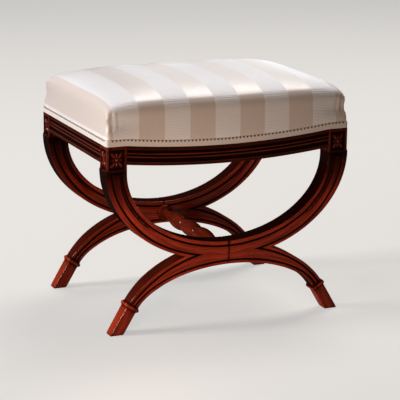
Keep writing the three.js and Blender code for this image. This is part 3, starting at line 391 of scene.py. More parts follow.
def frame_half():
    """Grids, caps, grain coordinates and stain with painted shade of the front right half of a frame.

    Four moulded strips run along its edges, and ruled faces fill the arm and the leg between them on both
    sides. The seam's edges are rounded in, and the block, the foot and a post inside the seat are added.
    """
    inner = edge_strip(arm_inner, from_seam, up_to_block, 97)
    outer = edge_strip(arm_outer, from_crotch, up_to_block, 73)
    top = edge_strip(leg_top, from_crotch, down_to_collar, 41)
    arch = edge_strip(leg_arch, from_seam, down_to_collar, 65)
    grids = [inner, outer, top, arch]
    stains = [strip_glaze(g, side) for g, side in zip(grids, (0.96, 1.0, 0.85, 0.95))]
    inner_ends, arch_ends = [], []
    for row, face in ((0, -half_depth), (-1, plank - half_depth)):
        middle = np.array((seam_start, face, (inner[row, 0, 2] + arch[row, 0, 2]) / 2))
        mid = ruled(middle[None], outer[row, :1], 25)[:, 0]
        arm = ruled(inner[row], np.vstack((mid, outer[row, 1:])), 13)
        leg = ruled(np.vstack((mid, top[row, 1:])), arch[row], 13)
        closing = slice(0, 13) if row == 0 else slice(-13, None)
        grids += [arm, leg, ruled(inner[closing, -1], outer[closing, -1], 13).transpose(1, 0, 2)]
        # Painted shade widens the inner groove's dark line onto the arm's panel above z 205, and the closing
        # grooves under the block are painted fully dark as shade.
        beside = np.linalg.norm(arm - arm[:1], axis=-1)
        painted_hollow_shade = np.clip((5.5 - beside) / 1.5, 0.0, 1.0) * np.clip((arm[..., 2] - 205.0) / 30.0, 0.0, 1.0)
        stains += [np.maximum(face_glaze(arm), painted_hollow_shade), face_glaze(leg), np.ones((13, 13))]
        inner_ends.append((arm[1:, 0], leg[1:-1, 0]))
        arch_ends.append(leg[1:-1, -1])
    arm_front, leg_front = (row[::-1] for row in inner_ends[0])
    seam = np.vstack((inner[:, 0], *inner_ends[1], arch[::-1, 0], leg_front, arm_front))
    middle = seam.mean(0)
    rings = [seam]
    for x, draw in ((0.9, 0.25), (0.45, 0.9), (seam_face, 1.8)):
        ring = middle + (seam - middle) * (1.0, 1 - draw / 20.3, 1 - draw / 25.2)
        ring[:, 0] = x
        rings.append(ring)
    seam = np.array(rings)
    lip = slice(12, len(profile) - 12)
    joint = ruled(inner[(12, -13), -1], outer[(12, -13), -1], 13)[1:-1]
    caps = [
        seam[-1],
        np.vstack((top[:, -1], arch_ends[1], arch[::-1, -1], arch_ends[0][::-1])),
        np.vstack((inner[lip, -1], joint[:, 1], outer[lip, -1][::-1], joint[::-1, 0])),
    ]
    block, foot = block_grid(), square_foot()
    plan = ((235, -161.9), (235, -198.5), (272.6, -198.5), (275.6, -195.5), (275.6, -161.9))
    post = np.array([[(x, y, z) for x, y in plan] for z in (rail_line - 0.5, post_top)])
    grids, caps = [thinned(g) for g in grids + [seam]], [thinned(ring) for ring in caps]
    closed = [False] * (len(grids) - 1) + [True] * 4
    caps += [block[0], block[-1], foot[0], foot[-1], post[0], post[-1]]
    grids += [block, foot, post]
    stains += [np.ones(seam.shape[:2]), block_glaze(block), foot_glaze(foot), np.zeros(post.shape[:2])]
    stains += [np.full(len(ring), 0.9) for ring in caps]
    marks = [None] * (len(grids) - 3) + [upright_marks(block), upright_marks(foot), None]
    return list(zip(grids, closed)), caps, marks, stains


def feed(node, inputs):
    """Gives a node its inputs by name or number, each a value or another node's output."""
    for key, value in dict(inputs).items():
        if isinstance(value, bpy.types.NodeSocket):
            node.id_data.links.new(value, node.inputs[key])
        else:
            node.inputs[key].default_value = value


def add_node(tree, kind, out, inputs=(), **settings):
    """Adds a node with its settings and inputs to a tree, and gives back one of its outputs."""
    node = tree.nodes.new("ShaderNode" + kind)
    for name, value in settings.items():
        setattr(node, name, value)
    feed(node, inputs)
    return node.outputs[out]


def maths(add, kind, a, b=0.0):
    """One sum of two values, by the node's own name for it."""
    return add("Math", "Value", {0: a, 1: b}, operation=kind)


def weighted(add, *pairs):
    """The sum of some values, each times its weight."""
    parts = [maths(add, "MULTIPLY", value, weight) for value, weight in pairs]
    total = parts[0]
    for part in parts[1:]:
        total = maths(add, "ADD", total, part)
    return total


def ranged(add, value, low, high, to_low, to_high):
    """A value between low and high spread evenly over another range."""
    limits = {"From Min": low, "From Max": high, "To Min": to_low, "To Max": to_high}
    return add("MapRange", "Result", {"Value": value, **limits})


def mottled(add, place, scale, detail=2.0, squeeze=(1.0, 1.0, 1.0)):
    """Noise over a place, squeezed along its axes."""
    place = add("Mapping", "Vector", {"Vector": place, "Scale": squeeze})
    return add("TexNoise", "Fac", {"Vector": place, "Scale": scale, "Detail": detail})


def build_mahogany_figure():
    """A node group: grain coordinates and stain in, colour, roughness, varnish and relief out.

    Broad ribbons and fine streaks are noise stretched along the grain; the pores are a finer noise cut off
    low. The darkening that the piece carries, dark stain in part and painted shade in part, darkens the colour
    toward a near-black and dulls the varnish where the piece says that it lies.
    """
    group = bpy.data.node_groups.new("mahogany_figure", "ShaderNodeTree")
    for kind, name, value in (
        ("Vector", "Grain", (0.0, 0.0, 0.0)),
        ("Float", "Glaze", 0.0),
        ("Color", "Light wood", (0.2, 0.03, 0.012, 1)),
        ("Color", "Dark wood", (0.06, 0.008, 0.004, 1)),
        ("Color", "Stain and shade colour", (0.006, 0.0015, 0.001, 1)),
        ("Float", "Gloss", 0.2),
    ):
        socket = group.interface.new_socket(name=name, in_out="INPUT", socket_type="NodeSocket" + kind)
        socket.default_value = value
    for kind, name in (("Color", "Colour"), ("Float", "Roughness"), ("Float", "Varnish"), ("Float", "Relief")):
        group.interface.new_socket(name=name, in_out="OUTPUT", socket_type="NodeSocket" + kind)
    given, add = group.nodes.new("NodeGroupInput").outputs, partial(add_node, group)

    def mixed(share, a, b):
        return add("Mix", "Result", {"Factor": share, "A": a, "B": b}, data_type="RGBA")

    ribbon = mottled(add, given["Grain"], 1.0, 2.0, (9.0, 70.0, 70.0))
    fine = mottled(add, given["Grain"], 1.0, 3.0, (30.0, 700.0, 700.0))
    pores = mottled(add, given["Grain"], 1.0, 1.0, (120.0, 2600.0, 2600.0))
    figure = ranged(add, weighted(add, (ribbon, 0.6), (fine, 0.4)), 0.36, 0.64, 0.0, 1.0)
    pore = ranged(add, pores, 0.34, 0.42, 1.0, 0.0)
    shade = maths(add, "MAXIMUM", maths(add, "MULTIPLY", pore, 0.45), given["Glaze"])
    feed(group.nodes.new("NodeGroupOutput"), {
        "Colour": mixed(shade, mixed(figure, given["Dark wood"], given["Light wood"]), given["Stain and shade colour"]),
        "Roughness": weighted(add, (given["Gloss"], 1.0), (fine, 0.08), (given["Glaze"], 0.25)),
        "Varnish": ranged(add, given["Glaze"], 0.1, 0.9, 0.3, 0.04),
        "Relief": weighted(add, (ribbon, 0.5), (pore, -0.15)),
    })
    return group


mahogany_figure = build_mahogany_figure()


def new_finish(name):
    """A new material, and a short way to add nodes to it."""
    finish = bpy.data.materials.new(name)
    finish.use_nodes = True
    return finish, partial(add_node, finish.node_tree)


def set_shader(finish, inputs, relief=None, depth=0.0, strength=1.0):
    """Feeds a material's shader. A relief, if there is one, stands up by a depth in metres."""
    feed(finish.node_tree.nodes["Principled BSDF"], inputs)
    if relief is not None:
        bump = {"Height": relief, "Distance": depth, "Strength": strength}
        normal = add_node(finish.node_tree, "Bump", "Normal", bump)
        feed(finish.node_tree.nodes["Principled BSDF"], {"Normal": normal})
    return finish


def mahogany(name, light, dark, gloss, relief):
    """A varnished mahogany finish with its own two wood colours, gloss and depth of relief."""
    finish, add = new_finish(name)
    given = {
        "Grain": add("UVMap", "UV", uv_map="grain"),
        "Glaze": add("Attribute", "Fac", attribute_name="glaze"),
        "Light wood": light, "Dark wood": dark, "Gloss": gloss,
    }
    figure = add("Group", "Colour", given, node_tree=mahogany_figure).node.outputs
    shader = {
        "Base Color": figure["Colour"], "Roughness": figure["Roughness"], "Coat Weight": figure["Varnish"],
        "Coat Roughness": 0.07, "Specular IOR Level": 0.0,
    }
    return set_shader(finish, shader, figure["Relief"], relief, 0.5)


frame_mahogany = mahogany("frame_mahogany", (0.36, 0.034, 0.01, 1), (0.08, 0.007, 0.003, 1), 0.2, 0.0002)
half_grids, half_caps, half_marks, half_stains = frame_half()
for corner, signs in corners.items():
    fit(
        "frame_" + corner, "polished_mahogany", "x_frame_" + corner, half_grids, half_caps, frame_mahogany,
        signs, 32.0, half_marks, half_stains,
    )

# The collars: a square mahogany moulding closes round each ankle, where the leg becomes the foot. It is
# run as a half round between two small fillets, mitred and glued on.


def collar_grid():
    """The collar as a closed ring: its half-round section carried round the oblong ankle.

    A section point is (outward, along the ankle); the path is an oblong whose corners turn in three steps.
    """
    turn = np.linspace(0.0, math.pi, 11)
    bulge = np.stack((1.5 + 2.5 * np.sin(turn), -3.6 * np.cos(turn)), 1)
    section = np.vstack(([(0.3, -5.0), (1.1, -5.0), (1.35, -4.7), (1.4, -4.0)], bulge))
    section = np.vstack((section, [(1.4, 4.0), (1.35, 4.7), (1.1, 5.0), (0.3, 5.0)]))
    turns = [(sx, sy, a) for sx, sy, angle in oblong_turns(4) for a in angle]
    path = np.array([(sx * 12.0, sy * 14.7, math.cos(a), math.sin(a)) for sx, sy, a in turns])
    out, along = section[:, 0][None], section[:, 1][None]
    u = path[:, 0][:, None] + path[:, 2][:, None] * (0.5 + out)
    v = path[:, 1][:, None] + path[:, 3][:, None] * (0.5 + out)
    grid = np.empty(u.shape + (3,))
    grid[..., 0] = ankle[0] + ankle_across[0] * u + ankle_axis[0] * along
    grid[..., 1] = v - half_depth + plank / 2
    grid[..., 2] = ankle[1] + ankle_across[1] * u + ankle_axis[1] * along
    return np.vstack((grid, grid[:1]))


def collar_glaze(points):
    """Dark stain and painted shade fill the quirks on both sides of the half round."""
    along = (points[:, ::2] - ankle) @ ankle_axis
    return np.clip((np.abs(along) - 3.0) / 0.6, 0, 1) * 0.95


for corner, signs in corners.items():
    fit(
        "foot_collar_" + corner, "polished_mahogany", "ankle_collar_" + corner, [(collar_grid(), True)], (),
        frame_mahogany, signs, 40.0, None, collar_glaze,
    )

# The pateras: an eight-leaved carving fills the sunk field on both outer faces of each corner block.
# Four long leaves reach into the corners, four short ones lie between them, round a raised boss.
patera_high, patera_back, leaf_reach, face_wide, end_wide = 3.2, 2.7, 20.8, 16.7, 14.5


def patera_grid(half_wide, half_high):
    """A carved patera: rings from the rim to the middle, height over its back from a formula.

    Radius r and angle a are spread to fill an oblong. A leaf's ridge is |cos 4a|, sunk along its vein and
    rising to its fullest at r = 0.6; inside r = 0.24 stands a boss with a hollow round it.
    """
    inmost = (0.27, 0.24, 0.22, 0.2, 0.17, 0.13, 0.09, 0.05, 0.001)
    r = np.concatenate(([1.0], np.linspace(1.0, 0.3, 16), inmost))
    a = np.linspace(0, 2 * math.pi, 129)[:-1]
    r, a = np.meshgrid(r, a, indexing="ij")
    leaf = np.abs(np.cos(4 * a))
    vein = np.exp(-((np.sin(4 * a) / 0.22) ** 2))
    slant = 0.5 - 0.5 * np.cos(4 * a)
    reach = (0.78 + 0.22 * leaf**1.5) * (0.84 + 0.16 * slant)
    spread = (np.cos(a) ** 4 + np.sin(a) ** 4) ** -0.25
    swell = np.sin(np.clip((1.02 - r) / 0.72, 0, 1) * math.pi * 0.62)
    height = 0.06 + swell * (0.04 + (0.66 + 0.28 * slant) * leaf**1.3 - 0.34 * vein * (r < 0.97))
    boss = 0.35 + 0.65 * np.sqrt(np.clip(1 - (r / 0.215) ** 2, 0, 1))
    height = np.where(r < 0.22, boss, np.where(r < 0.29, 0.3, height))
    height[0] = 0.0
    grid = np.empty(r.shape + (3,))
    grid[..., 0] = np.cos(a) * spread * r * reach * half_wide
    grid[..., 1] = -np.clip(height, 0, 1) * patera_high
    grid[..., 2] = np.sin(a) * spread * r * reach * half_high
    return grid


def patera_glaze(depth_axis, back):
    """Dark stain and painted shade in the hollows of the carving: none on the ridges, most at the back of the
    field.
    """

    def stain(points):
        height = np.abs(points[:, depth_axis] - back) / patera_high
        return np.clip(1.3 - height * 1.5, 0, 1)

    return stain


carved_mahogany = mahogany("carved_mahogany", (0.2, 0.026, 0.01, 1), (0.08, 0.009, 0.004, 1), 0.16, 0.00015)
field_front, field_side = patera_back - half_depth, half_width - patera_back
carved_face = patera_grid(face_wide, leaf_reach)
carved_face = carved_face + ((half_width + block_inner) / 2, field_front, field_middle)
carved_end = patera_grid(end_wide, leaf_reach)
carved_end = np.stack((-carved_end[..., 1], carved_end[..., 0], carved_end[..., 2]), -1)
carved_end = carved_end + (field_side, plank / 2 - half_depth, field_middle)
for corner, signs in corners.items():
    for side, carving, stain in (
        ("face_", carved_face, patera_glaze(1, field_front)),
        ("end_", carved_end, patera_glaze(0, field_side)),
    ):
        fit(
            "rosette_" + side + corner, "carved_mahogany", "patera_" + side + corner, [(carving, True)],
            [carving[0]], carved_mahogany, signs, 50.0, None, stain,
        )

# The seat rails: four lengths of mahogany, tenoned into the corner blocks. Two reeds and their quirks are
# run along each under the cover's edge; the front and back ones dip 14 mm in the middle, as a saddle does.
saddle_dip, rail_thick, rail_show, rail_top = 14.0, 28.0, 40.5, 436.0
rail_face_x, rail_face_y = 278.5, 201.0
rail_half_x, rail_half_y, tenon_end_x, tenon_end_y = 234.7, 161.6, 253.0, 175.9


def dip_at(x):
    """How far the front and back rails dip at a place: 14 (1 - (x / 235)^2), and nothing at the blocks."""
    return saddle_dip * np.clip(1 - (x / block_inner) ** 2, 0, 1)


def reed_profile():
    """The show face of a rail from its top edge down: (share of the height down, depth in millimetres).

    Flat fillets above and below, two round reeds between three square quirks, and a cove under the lower one.
    """
    down = np.unique(np.concatenate((
        np.linspace(0, 1, 41), np.linspace(0.31, 0.66, 43), (0.186, 0.19, 0.2, 0.21, 0.745, 0.75, 0.985),
    )))
    depth = np.where((down > 0.195) & (down < 0.748), 1.0, 0.0)
    for middle in (0.398, 0.572):
        depth = np.where(
            np.abs(down - middle) < 0.083,
            1 - 0.95 * np.sqrt(np.clip(1 - ((down - middle) / 0.083) ** 2, 0, 1)),
            depth,
        )
    cove = (down >= 0.748) & (down < 0.84)
    depth = np.where(cove, np.maximum(np.cos((down - 0.748) / 0.092 * math.pi / 2), 0) ** 1.5, depth)
    depth = np.where(down > 0.96, ((down - 0.96) / 0.04) ** 2 * 0.2, depth)
    return down, depth * 4.0


def rail_grid(face, half_length, stations, saddle):
    """A rail's closed section carried along it. Below the cover's edge it drops by the saddle there."""
    down, depth = reed_profile()
    inside, low = face - rail_thick, rail_line - rail_show
    out = np.concatenate(([inside, inside, face - 3.1, face - 2.5], face - depth, [inside + 0.5]))
    high = np.concatenate(
        ([low + 0.8, rail_top, rail_top, rail_line + 0.4], rail_line - down * rail_show, [low])
    )
    drops = np.concatenate(([1, 0, 0, 1], np.ones(len(down)), [1]))
    along = np.linspace(-1, 1, stations) * half_length
    drop = saddle * (1 - (along / block_inner) ** 2)
    grid = np.empty((len(out), stations, 3))
    grid[..., 0] = along[None]
    grid[..., 1] = -out[:, None]
    grid[..., 2] = high[:, None] - drops[:, None] * drop[None]
    return np.vstack((grid, grid[:1]))


def tenon_grid(face, half_length):
    """The two tenons as one bar through the rail, 10 mm thick and 10 mm short of its edges."""
    low, high = rail_line - rail_show + 10, rail_top - 10
    ring = [(face - 9, low), (face - 9, high), (face - 19, high), (face - 19, low)]
    return np.array([[(x, -y, z) for x in (-half_length, half_length)] for y, z in ring + ring[:1]])


def rail_glaze(face, axis):
    """Painted shade lies deep over the whole show face as the cover's shadow, most in the quirks; the reeds'
    ridges and two fillet lines are left light as painted highlights.
    """

    def stain(points):
        depth = face - np.abs(points[:, axis])
        down = rail_line - points[:, 2]
        if axis == 1:
            down = down - dip_at(points[:, 0])
        shown = (down > 0.5) & (depth < 5)
        ridge = (depth < 0.35) & (down > 0.3 * rail_show) & (down < 0.68 * rail_show)
        ridge |= (np.abs(down - 0.19 * rail_show) < 0.6) | (np.abs(down - 0.85 * rail_show) < 0.9)
        return np.where(shown, np.where(ridge, 0.15, np.clip(0.74 + depth / 8, 0, 1)), 0)

    return stain


# The rails' mahogany is a darker copy of the frames' finish: painted shade under the cover's overhang.
rail_mahogany = mahogany("rail_mahogany", (0.16, 0.022, 0.009, 1), (0.06, 0.008, 0.0035, 1), 0.2, 0.0002)
for side, signs in (
    ("front", (1.0, 1.0)), ("back", (1.0, -1.0)), ("right", (1.0, 1.0)), ("left", (-1.0, 1.0)),
):
    if side in ("front", "back"):
        body, bar = rail_grid(rail_face_y, rail_half_x, 81, saddle_dip), tenon_grid(rail_face_y, tenon_end_x)
        stain = rail_glaze(rail_face_y, 1)
    else:
        body, bar = rail_grid(rail_face_x, rail_half_y, 21, 0.0), tenon_grid(rail_face_x, tenon_end_y)
        body, bar = (np.stack((-g[..., 1], g[..., 0], g[..., 2]), -1) for g in (body, bar))
        stain = rail_glaze(rail_face_x, 0)
    fit(
        "rail_" + side, "polished_mahogany", "reeded_rail_" + side, [(body, False), (bar, False)],
        [body[:-1, 0], body[:-1, -1], bar[:-1, 0], bar[:-1, -1]], rail_mahogany, signs, 42.0, None, stain,
    )

# The stretcher: one turned length of mahogany between the two waists, a long vase to each side of the
# middle with rings at its neck and foot. A round tenon at each end is glued into the frame.


def turned_grid():
    """Half the turning's outline and its mirror image, spun round the stool's depth.

    The outline is a table of (share of the half length, share of the largest radius), filled in by a curve
    through four neighbouring points at a time, but straight between the points of a ring.
    """
    table = np.array([
        (0, 0.98), (0.08, 0.96), (0.155, 0.88), (0.195, 0.79), (0.212, 0.72), (0.222, 0.68), (0.232, 0.72),
        (0.25, 0.79), (0.3, 0.92), (0.37, 0.99), (0.44, 1), (0.53, 0.93), (0.61, 0.81), (0.69, 0.67),
        (0.78, 0.55), (0.86, 0.5), (0.9, 0.53), (0.922, 0.6), (0.927, 0.8), (0.935, 0.93), (0.95, 1),
        (0.965, 1), (0.98, 0.95), (0.988, 0.86), (1.0, 0.74),
    ])
    before, after = np.vstack((table[1] * (-1, 1), table[:-1])), np.vstack((table[1:], table[-1]))
    slope = (after - before) / 2
    t = np.linspace(0, 1, 6)[:-1][None, :, None]
    a, b, da, db = table[:-1, None], table[1:, None], slope[:-1, None], slope[1:, None]
    h = 2 * t**3 - 3 * t**2 + 1
    curve = h * a + (1 - h) * b + (t**3 - 2 * t**2 + t) * da + (t**3 - t**2) * db
    half = np.vstack((curve.reshape(-1, 2), table[-1:]))
    half = half * (rail_half_y, 18.4)
    half = np.vstack((half, [(rail_half_y, 9.0), (rail_half_y + 20, 9.0), (rail_half_y + 20, 0.01)]))
    line = np.vstack((half[:0:-1] * (-1, 1), half))
    angle = np.linspace(0, 2 * math.pi, 49)[:-1]
    along, out = line[:, :1], line[:, 1:]
    grid = np.broadcast_arrays(out * np.cos(angle), along, waist_line + out * np.sin(angle))
    return np.stack(grid, -1)


def turned_marks(grid):
    """Grain along the turning, and round it by its angle."""
    angle = np.broadcast_to(np.arange(grid.shape[1]) * 2.4, grid.shape[:2])
    return np.stack((grid[..., 1], angle), -1)


def turned_glaze(points):
    """Painted shade over the whole turning, deepest in the tight hollows beside the rings."""
    along = np.abs(points[:, 1]) / rail_half_y
    tight = np.maximum(1 - np.abs(along - 0.222) / 0.012, 1 - np.abs(along - 0.92) / 0.008)
    return np.clip(tight, 0.6, 1.0)


turning = turned_grid()
fit(
    "stretcher", "polished_mahogany", "turned_stretcher", [(turning, True)], (), frame_mahogany,
    sharp=40.0, marks=[turned_marks(turning)], glaze=turned_glaze,
)

# The joinery inside: beech dowels across the waist seams, beech braces glued into the corners under the
# seat, and two steel screws through each. They are sawn and turned plainly and left unvarnished.


def two_tones(add, value, dark, light, low=0.0, high=1.0):
    """A colour between a dark and a light one, as a value goes from low to high."""
    colour = add("ValToRGB", "Color", {"Fac": value})
    for stop, place, tone in zip(colour.node.color_ramp.elements, (low, high), (dark, light)):
        stop.position, stop.color = place, tone
    return colour


def plain_wood(name, light, dark, along):
    """Unpolished wood read from its place on the stool, its grain stretched along one axis."""
    finish, add = new_finish(name)
    squeeze = [12.0 if i == along else 260.0 for i in range(3)]
    figure = mottled(add, add("TexCoord", "Object"), 1.0, 5.0, squeeze)
    colour = two_tones(add, figure, dark, light, 0.35, 0.65)
    return set_shader(finish, {"Base Color": colour, "Roughness": 0.62}, figure, 0.0003)


def screw_steel():
    """Drawn steel with a fine brushed mottling."""
    finish, add = new_finish("screw_steel")
    rough = ranged(add, mottled(add, add("TexCoord", "Object"), 900.0), 0.0, 1.0, 0.28, 0.5)
    return set_shader(finish, {"Roughness": rough, "Base Color": (0.42, 0.42, 0.44, 1), "Metallic": 1.0})


brace_beech = plain_wood("brace_beech", (0.55, 0.36, 0.19, 1), (0.36, 0.21, 0.1, 1), 0)
steel = screw_steel()


def finish_node(name, material):
    """Gives a carried-over solid its finish through its own material slots."""
    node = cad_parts[name]
    for slot in node.material_slots:
        slot.material = material


for corner in corners:
    finish_node("corner_brace_" + corner, brace_beech)
    finish_node("brace_screw_lower_" + corner, steel)
    finish_node("brace_screw_upper_" + corner, steel)
for place in ("front_lower", "front_upper", "back_lower", "back_upper"):
    finish_node("waist_dowel_" + place, brace_beech)

# Under the cover: jute webbing is strained across the rails, woven over and under and tacked. Hessian lies
# over it, and a pad of hair and felt gives the seat its dome.


def strap_cloth(name, light, dark, thread, rough):
    """A plain weave in two tones: crossed sine waves at the thread's spacing, on the place on the stool."""
    finish, add = new_finish(name)
    place = add("TexCoord", "Object")
    given = {"Vector": place, "Scale": 0.314 / thread, "Distortion": 0.6}
    waves = [add("TexWave", "Fac", given, bands_direction=axis) for axis in ("X", "Y")]
    weave = maths(add, "MULTIPLY", *waves)
    tone = maths(add, "ADD", weave, mottled(add, place, 60.0))
    colour = two_tones(add, tone, dark, light, 0.3)
    return set_shader(finish, {"Base Color": colour, "Roughness": rough}, weave, 0.0004)


jute_web = strap_cloth("jute_web", (0.4, 0.26, 0.12, 1), (0.2, 0.12, 0.05, 1), 0.0016, 0.9)
hessian_cloth = strap_cloth("hessian_weave", (0.44, 0.31, 0.15, 1), (0.26, 0.17, 0.08, 1), 0.0022, 0.92)


def node_box(name):
    """The low and the high corner of a CAD node, in millimetres."""
    return (np.array(corner) * 1000 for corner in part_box(name))


def strap_grid(low, high, along, wave, first_over):
    """A strap with rounded selvedges: its middle rises and falls in half waves over the crossing straps."""
    length, width = high[along] - low[along], high[1 - along] - low[1 - along]
    thick = 1.4
    u = np.linspace(0, 1, 61)
    turn = np.linspace(0, 2 * math.pi, 25)
    side = np.sign(np.cos(turn)) * np.abs(np.cos(turn)) ** 0.25 * width / 2
    lift = np.sign(np.sin(turn)) * np.abs(np.sin(turn)) ** 0.5 * thick / 2
    middle = (low[2] + high[2]) / 2 + first_over * 0.8 * np.sin(u * math.pi * wave)
    grid = np.empty((len(turn), len(u), 3))
    grid[..., along] = (low[along] + u * length)[None]
    grid[..., 1 - along] = ((low[1 - along] + high[1 - along]) / 2 + side)[:, None]
    grid[..., 2] = middle[None] + lift[:, None]
    return grid


for way, count, axis, waves, rails in (
    ("lengthways", 3, 0, 5, ["rail_left", "rail_right"]),
    ("crossways", 4, 1, 4, ["rail_front", "rail_back"]),
):
    for n in range(1, count + 1):
        low, high = node_box(f"web_{way}_{n}")
        strap = strap_grid(low, high, axis, waves, 1 if n % 2 else -1)
        piece = fit(
            f"web_{way}_{n}", "jute_webbing", f"webbing_{way}_{n}",
            [(strap, False)], [strap[:-1, 0], strap[:-1, -1]], jute_web,
        )


def two_layers(low, top):
    """A thin closed sheet from the grids of its two faces: both, and a strip round their edge."""
    rim = [np.vstack((g[0], g[1:, -1], g[-1, -2::-1], g[-2:0:-1, 0])) for g in (low, top)]
    return [(low, False), (top[::-1], False), (np.array(rim), True)]


def slack_sheet(low, high, sag):
    """A thin sheet with a little slack: both faces ripple by sin 4a sin 3b sin a sin b over its two ways."""
    u, v = np.meshgrid(np.linspace(0, 1, 49), np.linspace(0, 1, 37), indexing="ij")
    a, b = u * math.pi, v * math.pi
    ripple = sag * np.sin(a * 4) * np.sin(b * 3) * np.sin(a) * np.sin(b)
    x, y = low[0] + u * (high[0] - low[0]), low[1] + v * (high[1] - low[1])
    return two_layers(*(np.stack((x, y, z + ripple), -1) for z in (low[2] + 0.1, high[2] - 0.1)))


low, high = node_box("hessian")
hessian = fit(
    "hessian", "hessian_cloth", "hessian_cover", slack_sheet(low, high, 0.25), (), hessian_cloth, sharp=60.0
)

# The seat: striped satin is drawn tight over the dome of the pad and down to the show wood, with a pleat
# folded in at each corner. Broad stripes of smooth satin and of fine ribs run from front to back.
cover_x, cover_y, cover_round = 279.6, 202.1, 5.0
shoulder, shoulder_round, crown_high = 496.0, 17.0, 27.5
side_bulge, cover_low, cover_thin, pad_thin = 1.6, 411.3, 1.2, 3.9


def seat_top(x, y, inset, thin):
    """Height of the dome over a place, for a skin that lies a thickness inside the cover.

    The crown is 27.5 (1 - |x/X|^5.2)(1 - |y/Y|^3.4), less a quarter circle of 17 mm at the shoulder, and
    the corners droop by 7 |xy/XY|^8.
    """
    share_x = np.clip(np.abs(x) / (cover_x - thin), 0, 1)
    share_y = np.clip(np.abs(y) / (cover_y - thin), 0, 1)
    crown = crown_high * (1 - share_x**5.2) * (1 - share_y**3.4) - 7 * (share_x * share_y) ** 8
    left = np.clip(shoulder_round - inset, 0, None)
    edge = shoulder_round - np.sqrt(np.clip(shoulder_round**2 - left**2, 0, None))
    return shoulder - thin + crown - edge


def seat_outline(half_x, half_y, radius, per_side):
    """A rounded oblong with as many points on each side and corner, whatever its size."""
    share = np.linspace(-1, 1, per_side)[:-1]
    turn = np.linspace(0, math.pi / 2, 9)[:-1]
    sides = []
    for n in range(4):
        reach, out = (half_x - radius, half_y) if n % 2 == 0 else (half_y - radius, half_x)
        a = np.concatenate((share * reach, reach + np.sin(turn) * radius))
        o = np.concatenate((np.full(len(share), out), out - radius + np.cos(turn) * radius))
        c, s = round(math.cos(n * math.pi / 2)), round(math.sin(n * math.pi / 2))
        sides.append(np.stack((c * a + s * o, s * a - c * o), 1))
    return np.vstack(sides)


def corner_draw(x, y, z):
    """How far the cloth is drawn in near a corner, along x and along y: 4 and 7.5 mm at most.

    The pull is a bell over the height with its top at z 455, and stays at 0.35 above it. Away from the
    corner it falls by exp(-(gap_x / 60)^2 - (gap_y / 45)^2).
    """
    gap_x, gap_y = np.clip(cover_x - np.abs(x), 0, None), np.clip(cover_y - np.abs(y), 0, None)
    bell = np.exp(-(((z - 455) / np.where(z < 455, 12, 18)) ** 2))
    pull = np.where(z < 455, bell, 0.35 + 0.65 * bell) * np.exp(-((gap_x / 60) ** 2) - (gap_y / 45) ** 2)
    return np.column_stack((4 * pull, 7.5 * pull))


def seat_skin(thin, bottom):
    """Rings of a skin over the seat, from the lower edge up the side, over the shoulder to the crown.

    The lower edge follows the rails' saddle, which fades out up the side; the side bulges 1.6 mm. Each side
    ring holds its share of the bulge, of the height and of the saddle, each shoulder ring its way inward as
    a share of the shoulder's radius.
    """
    sides = (
        (0, 0, 1), (0.1, 0.12, 0.95), (1.15, 0.205, 0.88), (1.1, 0.33, 0.8), (1, 0.45, 0.68), (1, 0.57, 0.5),
        (1, 0.7, 0.3), (1, 0.85, 0.12),
    )
    inward = (
        0, 0.05, 0.12, 0.22, 0.36, 0.52, 0.7, 0.9, 1.15, 1.5, 2, 2.6, 3.3,
        4, 4.8, 5.6, 6.5, 7.5, 8.5, 9.5, 10.5, 11.4,
    )
    round_low = max(0.5, cover_round - thin)
    rings = []
    for bulge, share, saddle in sides:
        out = bulge * side_bulge - thin
        plan = seat_outline(cover_x + out, cover_y + out, round_low, 41)
        high = bottom + share * (shoulder - shoulder_round - bottom) - saddle * dip_at(plan[:, 0])
        rings.append(np.column_stack((plan, high)))
    for share in inward:
        inset = share * shoulder_round
        draw = inset + thin - side_bulge * max(0, 1 - share)
        radius = min(round_low + inset * 0.85, 0.9 * (cover_y - draw))
        plan = seat_outline(cover_x - draw, cover_y - draw, radius, 41)
        rings.append(np.column_stack((plan, seat_top(plan[:, 0], plan[:, 1], inset, thin))))
    rings = np.array(rings)
    for ring in rings:
        ring[:, :2] -= np.sign(ring[:, :2]) * corner_draw(*ring.T)
    return rings


def hair_and_felt():
    """Matted off-white felt over hair, mottled by tufts and fibres."""
    finish, add = new_finish("hair_and_felt")
    tufts = mottled(add, add("TexCoord", "Object"), 140.0, 8.0)
    colour = two_tones(add, tufts, (0.36, 0.3, 0.2, 1), (0.68, 0.62, 0.48, 1))
    return set_shader(finish, {"Base Color": colour, "Roughness": 0.95}, tufts, 0.001)


low, high = node_box("seat_stuffing")
pad = seat_skin(pad_thin, low[2])[4:]
pad[0, :, 2] = low[2]
stuffing = fit(
    "seat_stuffing", "stuffing", "hair_pad", [(pad, True)], [pad[0], pad[-1]], hair_and_felt(), sharp=60.0
)

skin = seat_skin(cover_thin, cover_low)
shell = make_piece("satin_cover", [(skin, True)], [skin[0], skin[-1]], sharp=180.0)


def read_all(items, name, width=3, kind=float):
    """One value, or a row of them, for every item of a mesh."""
    values = np.empty(len(items) * width, kind)
    items.foreach_get(name, values)
    return values.reshape(-1, width) if width > 1 else values


def modified(piece):
    """Puts what a piece's modifiers make of its mesh in the mesh's place."""
    old, view = piece.data, bpy.context.evaluated_depsgraph_get()
    mesh = bpy.data.meshes.new_from_object(piece.evaluated_get(view))
    piece.modifiers.clear()
    piece.data = mesh
    bpy.data.meshes.remove(old)
    return mesh


